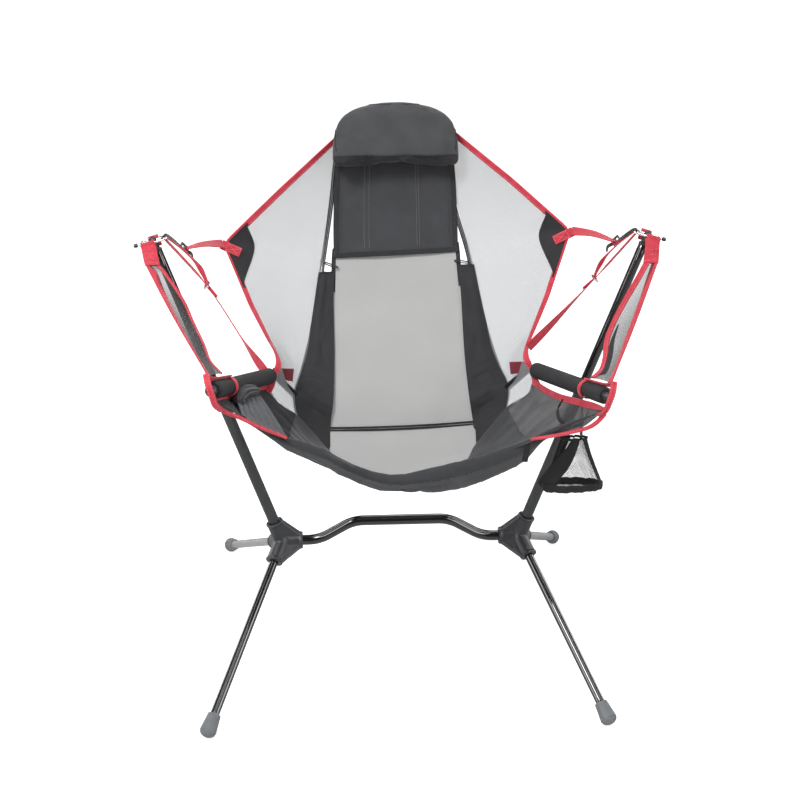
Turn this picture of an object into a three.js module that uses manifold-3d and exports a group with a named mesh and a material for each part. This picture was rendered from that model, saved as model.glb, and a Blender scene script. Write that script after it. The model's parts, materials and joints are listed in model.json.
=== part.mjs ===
// Camp rocking chair: a rigid pole base with two uprights, and a fabric seat that hangs from
// pins at the upright tops, swings about them and tilts on its straps.
// Millimetres, +Z up, the sitter faces -Y, origin on the ground at the centre of the base.

import * as THREE from 'three';
import { mergeVertices } from 'three/addons/utils/BufferGeometryUtils.js';
import Module from 'manifold-3d';

const wasm = await Module();
wasm.setup();

// ---------- driving dimensions ----------
const GAP = 0.35; // running gap between neighbouring pieces
const HUB_X = 220; // hub centres, either side of the middle
const HUB_Z = 204;
const FOOT_X = 343; // centres of the four rubber feet
const FOOT_Y = 298;
const FOOT_R = 14.8;
const FOOT_Z = 13.6; // a little less than the foot radius, so each sole is cut flat
const FOOT_TOP = 30; // top of a foot's cup above its centre, along the leg
const PIN_Z = 786; // height of the hanger pins: the swing axis
const TIP_X = 412; // upright tops
const PIN_REACH = 31; // length of each hanger pin outside its upright
const PIN_TILT = THREE.MathUtils.degToRad(17); // the pins stand square to the leaning uprights
const PIN_R = 2;
const EYE_R = 3; // the eye is loose, so that a tilted pin can turn about the level swing axis
const LEG_R = 8;
const LOWER_R = 10; // lower upright tube
const UPPER_R = 8; // upper upright tube
const WALL = 1.4; // wall of the tubes
const BAR_R = 9.5; // crossbar
const SOCKET_R = 14.9; // hub sockets
const COLLAR_R = 16.2; // lip round a socket's mouth
const SOCKET_START = 13; // where a socket's bore starts, from the hub centre
const BAR_MOUTH = 38; // distance of each socket's mouth from the hub centre
const UPRIGHT_MOUTH = 43;
const LEG_MOUTH = 46;
const GUSSET = 14; // thickness of the straight webs between the crossbar's socket and the others
const POLE_R = 4.4; // back poles
const ARM_R = 6.3; // armrest bars
const GRIP_R = 13.5; // foam grips
const CLOTH = 1.8; // thickness of the seat fabric
const WEB = 2.2; // thickness of strap webbing
const SKEW = THREE.MathUtils.degToRad(4.25); // the seat hangs skew: the right side lower in front
const SKEW_X = 440; // distance from the middle at which the skew is the full angle
const SIDES = 16;

const v = (x, y, z) => new THREE.Vector3(x, y, z);

// The skew turns each point of the seat about the swing axis, in proportion to its x.
function hang(point) {
  const offset = point.clone().sub(v(0, 0, PIN_Z));
  offset.applyAxisAngle(v(1, 0, 0), (SKEW * point.x) / SKEW_X);
  return offset.add(v(0, 0, PIN_Z));
}

// A seat point given for the right side, on side +1 (right) or -1 (left).
const seat = (side, x, y, z) => hang(v(side * x, y, z));
const seatLine = (side, points) => points.map(([x, y, z]) => seat(side, x, y, z));

// ---------- materials ----------
const paint = (color, roughness, metalness = 0) =>
  new THREE.MeshStandardMaterial({ color, roughness, metalness });
const FINISH = {
  nylon: paint(0x4a4c50, 0.55),
  blackTube: paint(0x16171a, 0.22, 0.8),
  darkTube: paint(0x2a2b2e, 0.4, 0.6),
  silverTube: paint(0xb4b6b8, 0.3, 0.9),
  rubber: paint(0x787c80, 0.8),
  steel: paint(0xd8dadc, 0.2, 0.95),
  blackPlastic: paint(0x1c1d1f, 0.5),
  foam: paint(0x1e1f21, 0.9),
  red: paint(0xea5264, 0.75),
  darkCloth: paint(0x555658, 0.85),
  blackCloth: paint(0x39393b, 0.85),
  meshCloth: paint(0xc8cac8, 0.8),
  wingMesh: paint(0xd2d7da, 0.8),
  blackWeb: paint(0x222324, 0.8),
  cord: paint(0x303134, 0.8),
};

// ---------- solids ----------
const toSolid = (geometry) => {
  const bare = new THREE.BufferGeometry();
  bare.setAttribute('position', geometry.getAttribute('position'));
  bare.setIndex(geometry.index);
  const merged = mergeVertices(bare, 1e-3);
  const solid = new wasm.Manifold(
    new wasm.Mesh({
      numProp: 3,
      vertProperties: new Float32Array(merged.attributes.position.array),
      triVerts: new Uint32Array(merged.index.array),
    }),
  );
  return solid;
};

const toGeometry = (solid) => {
  const mesh = solid.getMesh();
  const geometry = new THREE.BufferGeometry();
  geometry.setAttribute('position', new THREE.Float32BufferAttribute(mesh.vertProperties, 3));
  geometry.setIndex(new THREE.BufferAttribute(mesh.triVerts, 1));
  geometry.computeVertexNormals();
  return geometry;
};

const join = (geometries) =>
  geometries.map(toSolid).reduce((whole, piece) => whole.add(piece));
const cut = (solid, geometries) =>
  geometries.map(toSolid).reduce((whole, piece) => whole.subtract(piece), solid);

// Turns every face round if the surface encloses a negative volume.
function facingOut(geometry) {
  const position = geometry.getAttribute('position');
  const index = geometry.index;
  const corner = (i) => new THREE.Vector3().fromBufferAttribute(position, index ? index.getX(i) : i);
  const count = index ? index.count : position.count;
  let volume = 0;
  for (let i = 0; i < count; i += 3) {
    volume += corner(i).dot(corner(i + 1).cross(corner(i + 2)));
  }
  if (volume > 0) return geometry;
  const order = Array.from({ length: count }, (_, i) => (index ? index.getX(i) : i));
  for (let i = 0; i < count; i += 3) {
    [order[i + 1], order[i + 2]] = [order[i + 2], order[i + 1]];
  }
  geometry.setIndex(order);
  return geometry;
}

// ---------- shapes ----------
// A turned piece: profile points are [radius, distance along the axis].
function turned(from, direction, profile, sides = SIDES) {
  const points = profile.map(([radius, along]) => new THREE.Vector2(radius, along));
  const geometry = new THREE.LatheGeometry(points, sides);
  const turn = new THREE.Quaternion().setFromUnitVectors(v(0, 1, 0), direction.clone().normalize());
  geometry.applyQuaternion(turn).translate(from.x, from.y, from.z);
  return facingOut(geometry);
}

const rodProfile = (radius, length) => [[0, 0], [radius, 0], [radius, length], [0, length]];
const tubeProfile = (radius, bore, length) => [
  [bore, 0], [radius, 0], [radius, length], [bore, length], [bore, 0],
];

const rod = (from, to, radius, sides = SIDES) =>
  turned(from, to.clone().sub(from), rodProfile(radius, to.distanceTo(from)), sides);
const hollowRod = (from, to, radius, bore, sides = SIDES) =>
  turned(from, to.clone().sub(from), tubeProfile(radius, bore, to.distanceTo(from)), sides);

const ball = (centre, radius, sides = SIDES) =>
  new THREE.SphereGeometry(radius, sides, sides / 2).translate(centre.x, centre.y, centre.z);

// Straight runs joined by round bends.
function bentPath(points, bend) {
  const path = new THREE.CurvePath();
  let start = points[0];
  for (let i = 1; i < points.length - 1; i += 1) {
    const before = points[i].clone().add(points[i - 1].clone().sub(points[i]).setLength(bend));
    const after = points[i].clone().add(points[i + 1].clone().sub(points[i]).setLength(bend));
    path.add(new THREE.LineCurve3(start, before));
    path.add(new THREE.QuadraticBezierCurve3(before, points[i], after));
    start = after;
  }
  path.add(new THREE.LineCurve3(start, points[points.length - 1]));
  return path;
}

function bentRod(path, radius, steps, sides = SIDES) {
  const corners = Array.from({ length: sides }, (_, i) => {
    const angle = (2 * Math.PI * i) / sides;
    return new THREE.Vector2(radius * Math.cos(angle), radius * Math.sin(angle));
  });
  const shape = new THREE.Shape(corners);
  const options = { steps, bevelEnabled: false, extrudePath: path };
  return facingOut(new THREE.ExtrudeGeometry(shape, options));
}

// A closed solid from rings of points. `cap` lists the triangles that close one end, as
// corner numbers within a ring.
function skin(rings, cap) {
  const around = rings[0].length;
  const positions = rings.flat().flatMap((point) => point.toArray());
  const index = [];
  for (let i = 0; i < rings.length - 1; i += 1) {
    for (let j = 0; j < around; j += 1) {
      const a = i * around + j;
      const b = i * around + ((j + 1) % around);
      index.push(a, b, b + around, a, b + around, a + around);
    }
  }
  const last = (rings.length - 1) * around;
  cap.forEach(([a, b, c]) => index.push(a, c, b, last + a, last + b, last + c));
  const geometry = new THREE.BufferGeometry();
  geometry.setAttribute('position', new THREE.Float32BufferAttribute(positions, 3));
  geometry.setIndex(index);
  return facingOut(geometry);
}

// An end cap for a convex ring: a fan of triangles from its first corner.
const fanCap = (around) => Array.from({ length: around - 2 }, (_, j) => [0, j + 1, j + 2]);

// An end cap for a sheet `wide` points across: quads from its front face to its rear one.
const stripCap = (wide) =>
  Array.from({ length: wide - 1 }, (_, j) => {
    const rear = 2 * wide - 1 - j;
    return [[j, j + 1, rear - 1], [j, rear - 1, rear]];
  }).flat();

// A sheet of fabric: rows of points on its middle surface, given a thickness.
function sheet(rows, thickness = CLOTH) {
  const at = (i, j) => rows[i][j];
  const tall = rows.length;
  const wide = rows[0].length;
  const half = thickness / 2;
  const faces = rows.map((row, i) =>
    row.map((point, j) => {
      const along = at(Math.min(i + 1, tall - 1), j).clone().sub(at(Math.max(i - 1, 0), j));
      const across = at(i, Math.min(j + 1, wide - 1)).clone().sub(at(i, Math.max(j - 1, 0)));
      const normal = along.cross(across).setLength(half);
      return [point.clone().add(normal), point.clone().sub(normal)];
    }),
  );
  // Each row becomes a ring that runs along the front face and back along the rear one.
  const rings = faces.map((row) => [
    ...row.map(([front]) => front),
    ...row.map(([, rear]) => rear).reverse(),
  ]);
  return skin(rings, stripCap(wide));
}

// Rows of points between two edge curves, bowed by `sag` halfway across.
function rowsBetween(edgeA, edgeB, tall, wide, sag = v(0, 0, 0)) {
  const curveA = new THREE.CatmullRomCurve3(edgeA, false, 'centripetal');
  const curveB = new THREE.CatmullRomCurve3(edgeB, false, 'centripetal');
  return Array.from({ length: tall + 1 }, (_, i) => {
    const a = curveA.getPoint(i / tall);
    const b = curveB.getPoint(i / tall);
    return Array.from({ length: wide + 1 }, (__, j) => {
      const t = j / wide;
      return a.clone().lerp(b, t).addScaledVector(sag, 4 * t * (1 - t));
    });
  });
}

// A flat strap along a line of points; `across` gives the direction of its width.
function strap(points, across, width, thickness = WEB, steps = 8) {
  const curve = new THREE.CatmullRomCurve3(points, false, 'centripetal');
  const rows = Array.from({ length: steps + 1 }, (_, i) => {
    const centre = curve.getPoint(i / steps);
    const tangent = curve.getTangent(i / steps);
    const side = across.clone().addScaledVector(tangent, -across.dot(tangent));
    side.setLength(width / 2);
    return [centre.clone().sub(side), centre.clone().add(side)];
  });
  return sheet(rows, thickness);
}

// A rectangular frame with an opening, such as a strap buckle: size is [width, height, depth].
function buckleFrame([width, height, depth], rim, bars = 0) {
  const shape = new THREE.Shape([
    new THREE.Vector2(-width / 2, -height / 2),
    new THREE.Vector2(width / 2, -height / 2),
    new THREE.Vector2(width / 2, height / 2),
    new THREE.Vector2(-width / 2, height / 2),
  ]);
  const slots = bars + 1;
  const slotHeight = (height - rim * (slots + 1)) / slots;
  for (let i = 0; i < slots; i += 1) {
    const low = -height / 2 + rim + i * (slotHeight + rim);
    shape.holes.push(
      new THREE.Path([
        new THREE.Vector2(-width / 2 + rim, low),
        new THREE.Vector2(-width / 2 + rim, low + slotHeight),
        new THREE.Vector2(width / 2 - rim, low + slotHeight),
        new THREE.Vector2(width / 2 - rim, low),
      ]),
    );
  }
  const geometry = new THREE.ExtrudeGeometry(shape, { depth, bevelEnabled: false });
  return geometry.translate(0, 0, -depth / 2);
}

// Places a piece modelled at the origin: its x, y, z turn to the given directions.
function place(geometry, centre, xDirection, yDirection) {
  const x = xDirection.clone().normalize();
  const y = yDirection.clone().addScaledVector(x, -yDirection.dot(x)).normalize();
  const matrix = new THREE.Matrix4().makeBasis(x, y, x.clone().cross(y)).setPosition(centre);
  return geometry.applyMatrix4(matrix);
}

// ---------- the chair ----------
const chair = new THREE.Group();
chair.name = 'camp_rocking_chair';

function add(name, geometry, finish) {
  const bare = geometry.index ? geometry.toNonIndexed() : geometry;
  bare.computeVertexNormals();
  const mesh = new THREE.Mesh(bare, finish);
  mesh.name = name;
  chair.add(mesh);
}

const SIDE_NAMES = [['left', -1], ['right', 1]];

// ---------- base: hubs, crossbar, legs, feet, uprights ----------
const hubCentre = (side) => v(side * HUB_X, 0, HUB_Z);
const footCentre = (side, end) => v(side * FOOT_X, end * FOOT_Y, FOOT_Z);
const tipCentre = (side) => v(side * TIP_X, 0, PIN_Z);
const towards = (from, to) => to.clone().sub(from).normalize();
const onward = (from, direction, distance) => from.clone().addScaledVector(direction, distance);

// A gusset is a plate that fills the corner between two sockets, with a straight outer edge
// from one mouth to the other.
function gusset(centre, armA, armB) {
  const plate = new THREE.Shape();
  const angle = armA.direction.angleTo(armB.direction);
  const inset = SOCKET_R - 1;
  const along = new THREE.Vector2(Math.cos(angle), Math.sin(angle));
  plate.moveTo(0, 0);
  plate.lineTo(armA.mouth - 3, 0);
  plate.lineTo(armA.mouth - 3, inset);
  plate.lineTo(along.x * (armB.mouth - 3) + along.y * inset, along.y * (armB.mouth - 3) - along.x * inset);
  plate.lineTo(along.x * (armB.mouth - 3), along.y * (armB.mouth - 3));
  const geometry = new THREE.ExtrudeGeometry(plate, { depth: GUSSET, bevelEnabled: false });
  geometry.translate(0, 0, -GUSSET / 2);
  return place(geometry, centre, armA.direction, armB.direction);
}

function hub(side) {
  const centre = hubCentre(side);
  const bar = { direction: v(-side, 0, 0), radius: BAR_R, mouth: BAR_MOUTH };
  const upright = { direction: towards(centre, tipCentre(side)), radius: LOWER_R, mouth: UPRIGHT_MOUTH };
  const [front, rear] = [-1, 1].map((end) => (
    { direction: towards(centre, footCentre(side, end)), radius: LEG_R, mouth: LEG_MOUTH }
  ));
  const arms = [bar, upright, front, rear];
  const sockets = arms.map(({ direction, mouth }) =>
    turned(centre, direction, [
      [0, 0], [SOCKET_R, 0], [SOCKET_R, mouth - 5], [COLLAR_R, mouth - 4],
      [COLLAR_R, mouth - 1], [COLLAR_R - 1, mouth], [0, mouth],
    ], 20),
  );
  const gussets = [upright, front, rear].map((arm) => gusset(centre, bar, arm));
  const bores = arms.map(({ direction, radius, mouth }) =>
    rod(onward(centre, direction, SOCKET_START), onward(centre, direction, mouth + 2), radius + GAP, 20),
  );
  const body = join([ball(centre, SOCKET_R + 3), ...sockets, ...gussets]);
  return toGeometry(cut(body, bores));
}

function foot(side, end) {
  const centre = footCentre(side, end);
  const up = towards(centre, hubCentre(side));
  const dome = [10, 30, 50, 70].map((degrees) => {
    const angle = THREE.MathUtils.degToRad(degrees);
    return [FOOT_R * Math.sin(angle), -FOOT_R * Math.cos(angle)];
  });
  const profile = [
    [0, -FOOT_R], ...dome, [FOOT_R, 0], [FOOT_R - 0.6, 5], [LEG_R + 2, FOOT_TOP - 1.5],
    [LEG_R + 1.4, FOOT_TOP], [LEG_R + GAP, FOOT_TOP], [LEG_R + GAP, 1], [0, 1],
  ];
  const ground = new THREE.BoxGeometry(80, 80, 20).translate(centre.x, centre.y, -10);
  return toGeometry(cut(toSolid(turned(centre, up, profile, 20)), [ground]));
}

// The crossbar arches up between its two low ends.
const BAR_END_X = HUB_X - SOCKET_START - 1;
const BAR_LOW_X = 152;
const BAR_HIGH_X = 88;
const BAR_RISE = 39;
const crossbarPath = bentPath(
  [
    v(-BAR_END_X, 0, HUB_Z), v(-BAR_LOW_X, 0, HUB_Z), v(-BAR_HIGH_X, 0, HUB_Z + BAR_RISE),
    v(BAR_HIGH_X, 0, HUB_Z + BAR_RISE), v(BAR_LOW_X, 0, HUB_Z), v(BAR_END_X, 0, HUB_Z),
  ],
  20,
);
add('crossbar', bentRod(crossbarPath, BAR_R, 44, 14), FINISH.blackTube);

// Distances along an upright, from its hub.
const UPRIGHT_LENGTH = hubCentre(1).distanceTo(tipCentre(1));
const LOWER_TOP = 330;
const UPPER_BOTTOM = 292;
const UPPER_TOP = UPRIGHT_LENGTH - 19;

const PLUG_DEPTH = 18; // how far a plug reaches into its tube
const PLUG_HEAD_R = 7;

// The direction of a hanger pin, outwards and square to its upright.
const pinRun = (side) => v(side * Math.cos(PIN_TILT), 0, -Math.sin(PIN_TILT));

function polePlug(side) {
  const up = towards(hubCentre(side), tipCentre(side));
  const bottom = onward(hubCentre(side), up, UPPER_TOP - PLUG_DEPTH);
  const plugR = UPPER_R - WALL - GAP;
  const neckR = UPPER_R - 2;
  const rim = PLUG_DEPTH + GAP;
  const profile = [
    [0, 0], [plugR, 0], [plugR, rim], [UPPER_R + 0.6, rim], [UPPER_R + 0.6, rim + 2.6],
    [neckR, rim + 4.6], [neckR, rim + 18], [0, rim + 18],
  ];
  const head = tipCentre(side);
  const eye = rod(onward(head, pinRun(side), -12), onward(head, pinRun(side), 12), EYE_R);
  return toGeometry(cut(join([turned(bottom, up, profile), ball(head, PLUG_HEAD_R)]), [eye]));
}

SIDE_NAMES.forEach(([name, side]) => {
  const centre = hubCentre(side);
  const up = towards(centre, tipCentre(side));
  add(`hub_${name}`, hub(side), FINISH.nylon);
  [['front', -1, FINISH.blackTube], ['rear', 1, FINISH.silverTube]].forEach(
    ([endName, end, finish]) => {
      const down = towards(centre, footCentre(side, end));
      const top = onward(centre, down, SOCKET_START + 1);
      const bottom = onward(footCentre(side, end), down, -1 - GAP);
      add(`${endName}_leg_${name}`, hollowRod(top, bottom, LEG_R, LEG_R - WALL), finish);
      add(`${endName}_foot_${name}`, foot(side, end), FINISH.rubber);
    },
  );
  add(
    `lower_upright_${name}`,
    hollowRod(
      onward(centre, up, SOCKET_START + 1), onward(centre, up, LOWER_TOP),
      LOWER_R, UPPER_R + GAP,
    ),
    FINISH.darkTube,
  );
  add(
    `upper_upright_${name}`,
    hollowRod(
      onward(centre, up, UPPER_BOTTOM), onward(centre, up, UPPER_TOP), UPPER_R, UPPER_R - WALL,
    ),
    FINISH.blackTube,
  );
  add(
    `shock_cord_${name}`,
    rod(onward(centre, up, SOCKET_START + 2), onward(centre, up, UPPER_TOP - PLUG_DEPTH - 1), 1.5, 8),
    FINISH.cord,
  );
  add(`pole_plug_${name}`, polePlug(side), FINISH.nylon);
});

// ---------- suspension: hanger frames, webbing, side panels, straps and buckles ----------
const FRAME_X = 20; // half length of the wire frame on each pin, along the pin
const FRAME_Y = 14; // half width
const WIRE_R = 2;

function hangerFrame(side) {
  const corner = (x, y) => onward(tipCentre(side), pinRun(side), x).add(v(0, y, 0));
  const corners = [
    corner(-FRAME_X, -FRAME_Y), corner(FRAME_X, -FRAME_Y),
    corner(FRAME_X, FRAME_Y), corner(-FRAME_X, FRAME_Y),
  ];
  const wires = corners.map((point, i) => rod(point, corners[(i + 1) % 4], WIRE_R, 10));
  const balls = corners.map((point) => ball(point, WIRE_R, 10));
  const pin = rod(corner(-FRAME_X, 0), corner(PIN_REACH, 0), PIN_R, 12);
  return toGeometry(join([...wires, ...balls, pin]));
}

function pinCap(side) {
  const bore = PIN_R + GAP;
  const profile = [
    [bore, 0], [bore + 1, 0], [bore + 1.1, 4], [bore, 6], [0, 6.8], [0, 4], [bore, 4], [bore, 0],
  ];
  return turned(onward(tipCentre(side), pinRun(side), PIN_REACH - 4 + GAP), pinRun(side), profile, 12);
}

// Armrest: the front end, the rear end of the grip and the joint with the back pole.
const ARM_FRONT = [302, -290, 633];
const ARM_REAR = [219, -40, 560];
const HIP = [172, 0, 484];
const along = (a, b, t) => a.map((value, i) => value + (b[i] - value) * t);
const raised = (point, dx, dy, dz) => [point[0] + dx, point[1] + dy, point[2] + dz];

// Side panel edges, from the wide webbing at the top down to the arm.
const PANEL_FRONT = [[418, -60, 762], [362, -170, 703], [304, -284, 654]];
const PANEL_REAR = [[396, -56, 757], [346, -112, 686], [306, -180, 648], [283, -228, 638]];
const RING_INNER = [
  TIP_X - FRAME_X * Math.cos(PIN_TILT), 0, PIN_Z + FRAME_X * Math.sin(PIN_TILT),
];
const SLIDER_AT = [328, -4, 709];
const LOCK_AT = [364, 20, 768];
const WING_CORNER = [310, 145, 739];

SIDE_NAMES.forEach(([name, side]) => {
  const frontBar = onward(tipCentre(side), pinRun(side), 6).add(v(0, -FRAME_Y - WIRE_R - 3.2, 0));
  const webbingEnd = along(PANEL_FRONT[0], PANEL_REAR[0], 0.5);
  add(`hanger_frame_${name}`, hangerFrame(side), FINISH.steel);
  add(`pin_cap_${name}`, pinCap(side), FINISH.blackPlastic);
  add(
    `hanger_webbing_${name}`,
    strap([frontBar, seat(side, ...raised(webbingEnd, 0, 3, 2))], pinRun(side), 26, WEB, 3),
    FINISH.red,
  );
  add(
    `side_panel_${name}`,
    sheet(rowsBetween(seatLine(side, PANEL_FRONT), seatLine(side, PANEL_REAR), 8, 2)),
    FINISH.darkCloth,
  );

  // Corner strap: black webbing from the frame to the ladder lock, red webbing on to the wing.
  const lock = seat(side, ...LOCK_AT);
  const ringInner = seat(side, ...raised(RING_INNER, -5, 0, 0));
  const strapRun = towards(ringInner, lock);
  add(
    `buckle_strap_${name}`,
    strap([ringInner, onward(lock, strapRun, -13.6)], v(0, 1, 0), 18, WEB, 3),
    FINISH.blackWeb,
  );
  add(
    `ladder_lock_${name}`,
    place(buckleFrame([24, 16, 3.4], 2.6, 1), lock, v(0, 1, 0), strapRun),
    FINISH.steel,
  );
  add(
    `corner_strap_${name}`,
    strap(
      seatLine(side, [
        raised(LOCK_AT, -10, 14, -4), [338, 80, 757], [324, 108, 750], raised(WING_CORNER, 3, -9, 3),
      ]),
      v(side * 0.9, 0.4, 0.1), 16,
    ),
    FINISH.red,
  );

  // Recline strap: from the frame through its slider to the rear of the armrest.
  const sliderAt = seat(side, ...SLIDER_AT);
  const reclineTop = seat(side, ...raised(RING_INNER, -6, -1, -9));
  const reclineRun = towards(sliderAt, reclineTop);
  add(
    `recline_strap_${name}`,
    strap([reclineTop, sliderAt, seat(side, ...raised(ARM_REAR, 10, 2, 24))], v(0, 1, 0), 14),
    FINISH.red,
  );
  add(
    `strap_slider_${name}`,
    place(buckleFrame([22, 9, 3], 2.4), sliderAt, v(0, 1, 0), reclineRun.clone().cross(v(0, 1, 0))),
    FINISH.steel,
  );
});

// ---------- seat frame: armrests, hip joints and back poles ----------
// Fabric line of the back beside each pole, from the seat up to the head: [x, y, z].
const BACK_LINE = [
  [172, 0, 484], [158, 98, 563], [140, 193, 654], [121, 240, 757], [110, 264, 840], [98, 280, 906],
];
const POLE_BEHIND = 9; // pole centres lie this far behind the fabric
const behind = (points, distance) =>
  points.map(([x, y, z]) => {
    const lean = Math.max(0.22, 0.75 - (z - 484) / 500);
    return [x, y + distance * Math.cos(lean), z - distance * Math.sin(lean)];
  });
const HIP_CENTRE = behind([HIP], 13)[0];

function hipJoint(side) {
  const centre = seat(side, ...HIP_CENTRE);
  const pole = seat(side, ...behind([BACK_LINE[1]], POLE_BEHIND)[0]);
  const arm = seat(side, ...ARM_REAR);
  const arms = [[pole, POLE_R], [arm, ARM_R]];
  const bodies = [ball(centre, 10.5, 14)];
  const bores = [];
  arms.forEach(([target, radius]) => {
    const direction = towards(centre, target);
    bodies.push(rod(centre, onward(centre, direction, 24), radius + 2.6, 14));
    bores.push(rod(onward(centre, direction, 8), onward(centre, direction, 26), radius + GAP, 14));
  });
  return toGeometry(cut(join(bodies), bores));
}

SIDE_NAMES.forEach(([name, side]) => {
  const front = seat(side, ...ARM_FRONT);
  const rear = seat(side, ...ARM_REAR);
  const hip = seat(side, ...HIP_CENTRE);
  const barEnd = onward(hip, towards(hip, rear), 9);
  const run = towards(front, rear);
  const barPath = bentPath([front, rear, barEnd], 14);
  add(`arm_bar_${name}`, bentRod(barPath, ARM_R, 24, 12), FINISH.blackTube);
  add(
    `arm_grip_${name}`,
    hollowRod(onward(front, run, 10), onward(rear, run, -22), GRIP_R, ARM_R + GAP, 18),
    FINISH.foam,
  );
  const capBore = ARM_R + GAP;
  const capProfile = [
    [capBore, 0], [9, 0], [9.4, 8], [6, 13], [0, 14], [0, 8 + GAP], [capBore, 8 + GAP], [capBore, 0],
  ];
  add(
    `arm_cap_${name}`,
    turned(onward(front, run, 8), run.clone().negate(), capProfile, 14),
    FINISH.blackPlastic,
  );
  add(`hip_joint_${name}`, hipJoint(side), FINISH.nylon);

  const poleLine = seatLine(side, behind(BACK_LINE.slice(1), POLE_BEHIND));
  const poleStart = onward(hip, towards(hip, poleLine[0]), 9);
  const polePath = new THREE.CatmullRomCurve3([poleStart, ...poleLine], false, 'centripetal');
  add(`back_pole_${name}`, bentRod(polePath, POLE_R, 18, 10), FINISH.blackTube);
  const top = poleLine[poleLine.length - 1];
  const upward = towards(poleLine[poleLine.length - 2], top);
  add(
    `back_pole_cap_${name}`,
    turned(onward(top, upward, GAP), upward, [[0, 0], [5.6, 0], [5.6, 5], [3.4, 8.5], [0, 9.4]], 12),
    FINISH.blackPlastic,
  );
});

// ---------- seat fabric ----------
const SLEEVE_INNER = [[128, -14, 440], [127, 14, 470], [124, 92, 560], [119, 190, 652]];
const SLEEVE_OUTER = [[138, -28, 430], [159, 0, 482], [158, 97, 566], [143, 194, 652]];
const MESH_EDGE = [
  [125, -50, 424], [124.5, -14, 440], [123, 14, 470], [121, 92, 560], [114, 190, 652], [108, 212, 680],
];
const PANEL_EDGE = [[108, 215, 686], [105, 240, 757], [101, 263, 840], [93, 279, 898]];
const WING_INNER = [[182, 34, 512], [172, 95, 567], [150, 194, 656], [130, 238, 757], [117, 274, 882]];
const WING_OUTER = [[228, 4, 590], [264, 62, 652], WING_CORNER, [212, 214, 815], [124, 276, 886]];

const mirrored = (edge) => [seatLine(-1, edge), seatLine(1, edge)];
add('mesh_back', sheet(rowsBetween(...mirrored(MESH_EDGE), 12, 8, v(0, 6, -6))), FINISH.meshCloth);
add('back_panel', sheet(rowsBetween(...mirrored(PANEL_EDGE), 6, 6, v(0, 5, -2))), FINISH.darkCloth);

// The wing follows straight edges to its corner, so its rows are spaced along each edge.
function wingRows(side) {
  const inner = new THREE.CatmullRomCurve3(seatLine(side, WING_INNER), false, 'centripetal');
  const outer = seatLine(side, WING_OUTER);
  const cells = 12;
  return Array.from({ length: cells + 1 }, (_, i) => {
    const t = (i / cells) * (outer.length - 1);
    const k = Math.min(Math.floor(t), outer.length - 2);
    const b = outer[k].clone().lerp(outer[k + 1], t - k);
    const a = inner.getPoint(i / cells);
    return [0, 0.25, 0.5, 0.75, 1].map((s) => a.clone().lerp(b, s));
  });
}

SIDE_NAMES.forEach(([name, side]) => {
  const inner = seatLine(side, SLEEVE_INNER);
  const outer = seatLine(side, SLEEVE_OUTER);
  add(`pole_sleeve_${name}`, sheet(rowsBetween(inner, outer, 10, 2)), FINISH.blackCloth);
  add(`wing_${name}`, sheet(wingRows(side), 1.4), FINISH.wingMesh);
});

// The sling's rows run from one arm down under the sitter and up to the other arm.
const SLING_ROWS = [
  [[292, -272, 603], [240, -236, 560], [196, -216, 520], [110, -226, 466], [0, -230, 446]],
  [[276, -222, 592], [232, -190, 540], [190, -166, 492], [112, -160, 432], [0, -160, 408]],
  [[255, -158, 576], [218, -130, 520], [180, -108, 466], [112, -104, 420], [0, -104, 402]],
  [[232, -92, 556], [200, -76, 504], [166, -66, 452], [116, -62, 420], [0, -62, 412]],
];
const slingRows = SLING_ROWS.map((half) => {
  const right = seatLine(1, half);
  const left = seatLine(-1, half.slice(0, -1));
  const whole = [...left, ...right.reverse()];
  const curve = new THREE.CatmullRomCurve3(whole, false, 'centripetal');
  return curve.getPoints(16);
});
const slingFine = [];
for (let i = 0; i <= 6; i += 1) {
  slingFine.push(
    slingRows[0].map((_, j) =>
      new THREE.CatmullRomCurve3(slingRows.map((row) => row[j]), false, 'centripetal').getPoint(i / 6),
    ),
  );
}
add('seat_sling', sheet(slingFine), FINISH.darkCloth);

// Padded roll along the front edge, thick in the middle and thin at the ends.
const HEM_LINE = [
  [286, -290, 604], [240, -262, 566], [196, -244, 528], [104, -250, 476], [0, -252, 459],
];
const hemPoints = [...seatLine(-1, HEM_LINE.slice(0, -1)), ...seatLine(1, HEM_LINE).reverse()];
const hemCurve = new THREE.CatmullRomCurve3(hemPoints, false, 'centripetal');
const HEM_AROUND = 10;
function hemRings() {
  const steps = 22;
  return Array.from({ length: steps + 1 }, (_, i) => {
    const t = i / steps;
    const centre = hemCurve.getPoint(t);
    const tangent = hemCurve.getTangent(t);
    const radius = 4 + 11 * Math.sin(Math.PI * t) ** 1.4;
    const ahead = v(0, -1, 0).addScaledVector(tangent, tangent.y).normalize();
    const upward = ahead.clone().cross(tangent).normalize();
    return Array.from({ length: HEM_AROUND }, (__, j) => {
      const angle = (2 * Math.PI * j) / HEM_AROUND;
      return centre.clone()
        .addScaledVector(ahead, radius * Math.cos(angle))
        .addScaledVector(upward, radius * Math.sin(angle));
    });
  });
}
add('front_hem', skin(hemRings(), fanCap(HEM_AROUND)), FINISH.darkCloth);

// ---------- head pillow ----------
const PILLOW = { halfWidth: 117, shoulder: 62, height: 114, depth: 38, lean: 14.5, y: 238, z: 846 };

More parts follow.
